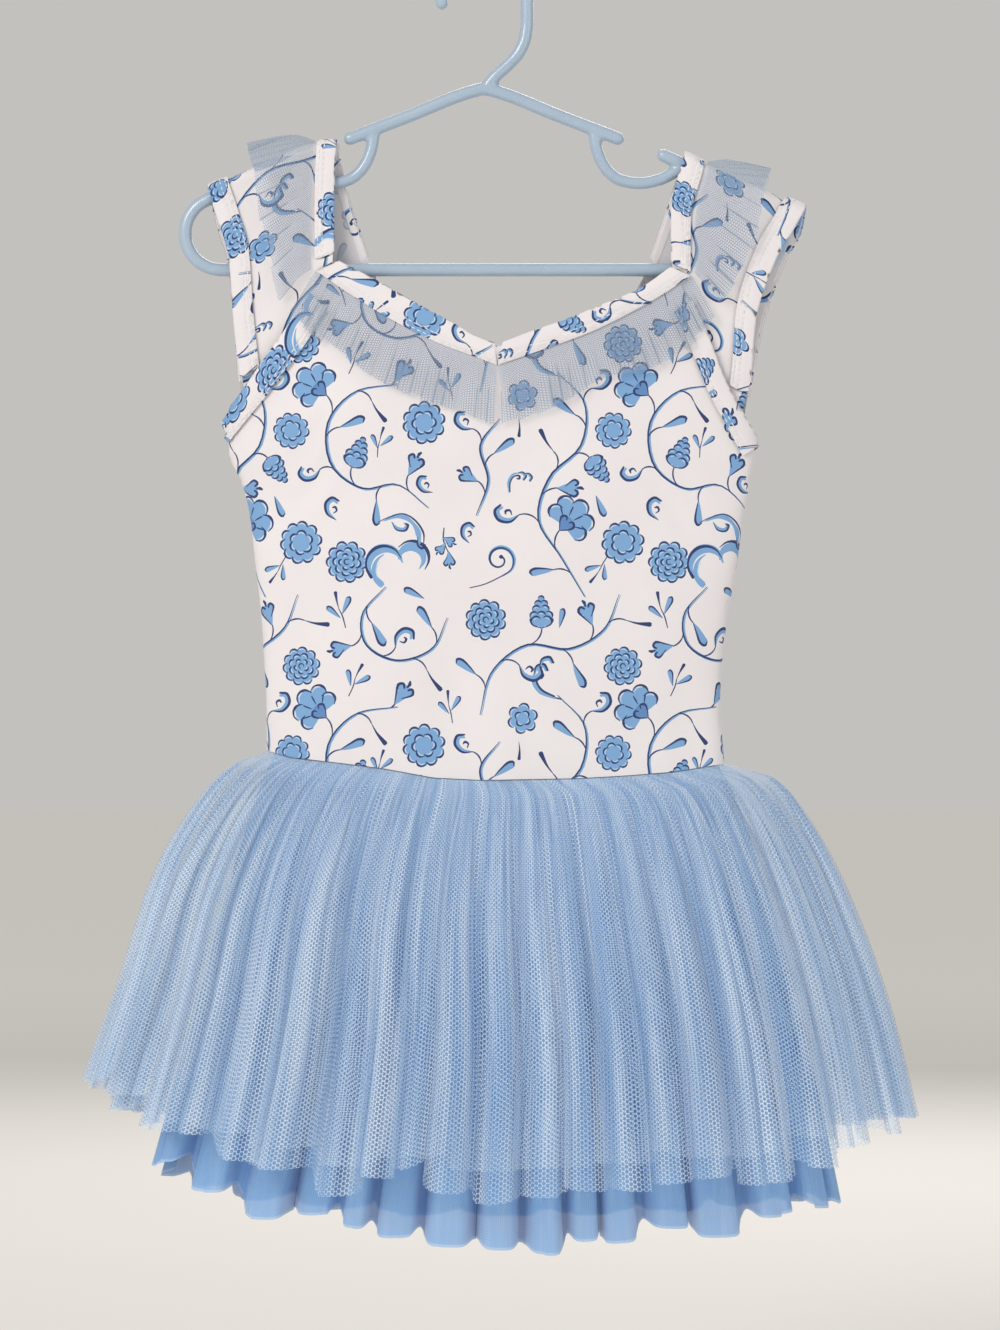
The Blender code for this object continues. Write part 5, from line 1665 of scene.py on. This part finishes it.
make_hanger(hanger_finish())
make_bodice("bodice_front", "front", FRONT_EDGE, PRINT_STARTS["bodice_front"], KNIT)
make_bodice("bodice_back", "back", BACK_EDGE, PRINT_STARTS["bodice_back"], KNIT)
bindings = []
for this_side in ("left", "right"):
    make_strap(this_side, PRINT_STARTS["strap_" + this_side], KNIT)
    bindings.append((strap_binding("strap_binding_" + this_side, this_side, "inner"),
                     ["strap_" + this_side]))
    bindings.append((strap_binding("sleeve_binding_" + this_side, this_side, "outer"),
                     ["strap_" + this_side]))
LEFT_NECK_OUT = ON_BODICE - 0.25
RIGHT_NECK_OUT = ON_BODICE + 0.2
bindings.append((strip_binding("neck_binding_left", "front", NECK_LEFT, LEFT_NECK_OUT,
                               NECK_TURN_UNDER), ["bodice_front"]))
bindings.append((strip_binding("neck_binding_right", "front", NECK_RIGHT, RIGHT_NECK_OUT,
                               NECK_TURN_UNDER), ["bodice_front"]))
bindings.append((strip_binding("neck_binding_back", "back", NECK_BACK, LEFT_NECK_OUT,
                               NECK_TURN_UNDER), ["bodice_back"]))
for armhole, strip_rows in ARMHOLES.items():
    armhole_face = armhole.split("_")[0]
    bindings.append((strip_binding("armhole_binding_" + armhole, armhole_face, strip_rows,
                                   ON_BODICE + ARMHOLE_LIFT, 0.0), ["bodice_" + armhole_face]))
for number, (binding, beneath) in enumerate(bindings):
    print_start = (BINDING_START_STEP[0] * number, BINDING_START_STEP[1] * number)
    binding.make(print_start, KNIT, beneath)
topstitching([binding for binding, _ in bindings], THREAD)
for this_side in ("left", "right"):
    make_ruffles(this_side, SHEER)
make_skirt("skirt_net", NET, NET_FOLDS, NET_BACK_FOLDS,
           SkirtMake(1500, 50, 0.95, 1.3, 1.3, 1.0, 0.16, 3.2, 0.30, 104, 2.3, 330, 0.8,
                     (Lift(-28.0, 11.0, 5.0),)),
           NET_MESH, 71, ["skirt_net_under"])
make_skirt("skirt_net_under", NET_UNDER, NET_UNDER_FOLDS, NET_UNDER_BACK_FOLDS,
           SkirtMake(1200, 44, 0.9, 1.2, 1.3, 1.0, 0.16, 3.0, 0.30, 88, 2.2, 310, 0.7, ()),
           NET_MESH, 81, ["underskirt"])
make_skirt("underskirt", UNDERSKIRT, UNDERSKIRT_FLUTES, UNDERSKIRT_BACK_FLUTES,
           SkirtMake(1000, 44, 0.76, 1.9, 2.4, 4.0, 0.3, 1.2, 0.06, 74, 0.5, 280, 0.5, ()),
           SOFT, 91, ["bodice_front"])

# Studio

PIXEL_MM = 0.52
PHOTO_HEIGHT = 1330
CAMERA_DISTANCE = 3.0
SENSOR = 36.0
CAMERA_PLACE = (0.0083, -CAMERA_DISTANCE, -0.3674)
FLOOR_Z = -0.80
FLOOR_RADIUS = 14.0

camera_data = bpy.data.cameras.new("photograph_view")
camera_data.sensor_width = SENSOR
camera_data.lens = SENSOR * CAMERA_DISTANCE / (PHOTO_HEIGHT * PIXEL_MM * MM)
camera = bpy.data.objects.new("photograph_view", camera_data)
camera.location = CAMERA_PLACE
camera.rotation_euler = (math.pi / 2, 0, 0)
bpy.context.scene.collection.objects.link(camera)
bpy.context.scene.camera = camera


def soft_light(name, place, target, size, power, colour):
    data = bpy.data.lights.new(name, "AREA")
    data.shape = "SQUARE"
    data.size = size
    data.energy = power
    data.color = colour
    light = bpy.data.objects.new(name, data)
    light.location = place
    light.rotation_euler = (Vector(target) - Vector(place)).to_track_quat("-Z", "Y").to_euler()
    bpy.context.scene.collection.objects.link(light)


DRESS_MIDDLE = (0.0, 0.0, -0.4)
soft_light("key", (-1.5, -2.2, 1.0), DRESS_MIDDLE, 1.2, 44.0, (1.0, 0.97, 0.93))
soft_light("fill", (2.0, -1.8, -0.1), DRESS_MIDDLE, 2.0, 14.0, (0.95, 0.97, 1.0))
soft_light("back", (0.4, 2.2, 0.9), DRESS_MIDDLE, 1.6, 22.0, (1.0, 0.98, 0.96))

world = bpy.data.worlds.new("studio_air")
world.use_nodes = True
world.node_tree.nodes["Background"].inputs["Color"].default_value = (0.88, 0.86, 0.83, 1)
world.node_tree.nodes["Background"].inputs["Strength"].default_value = 0.62
bpy.context.scene.world = world
bpy.context.scene.view_settings.view_transform = "Standard"
bpy.context.scene.cycles.transparent_max_bounces = 64

floor_finish = Finish("studio_floor", Roughness=0.9, Specular_IOR_Level=0.0)
floor_shade = floor_finish.noise(floor_finish.place(), 2.0)
far = floor_finish.node("ShaderNodeVectorMath", {"operation": "LENGTH"},
                        {0: floor_finish.place()}, 1)
# Painted light: the floor glows more the farther it lies from its middle, so it fades into the
# world's colour.
floor_finish.shader.inputs["Emission Strength"].default_value = 1.0
floor_colour = floor_finish.mixed(floor_shade, (0.80, 0.78, 0.75), (0.82, 0.80, 0.77))
glow = floor_finish.mixed(floor_finish.between(far, 1.5, 5.0), (0, 0, 0), (0.104, 0.106, 0.100))
floor_finish.surface(Base_Color=floor_colour, Emission_Color=glow)
floor_mesh = bmesh.new()
bmesh.ops.create_circle(floor_mesh, cap_ends=True, radius=FLOOR_RADIUS, segments=96)
floor_data = bpy.data.meshes.new("studio_floor")
floor_mesh.to_mesh(floor_data)
floor_mesh.free()
floor_data.materials.append(floor_finish.material)
studio_floor = bpy.data.objects.new("studio_floor", floor_data)
studio_floor.location = (0, 0, FLOOR_Z)
bpy.context.scene.collection.objects.link(studio_floor)
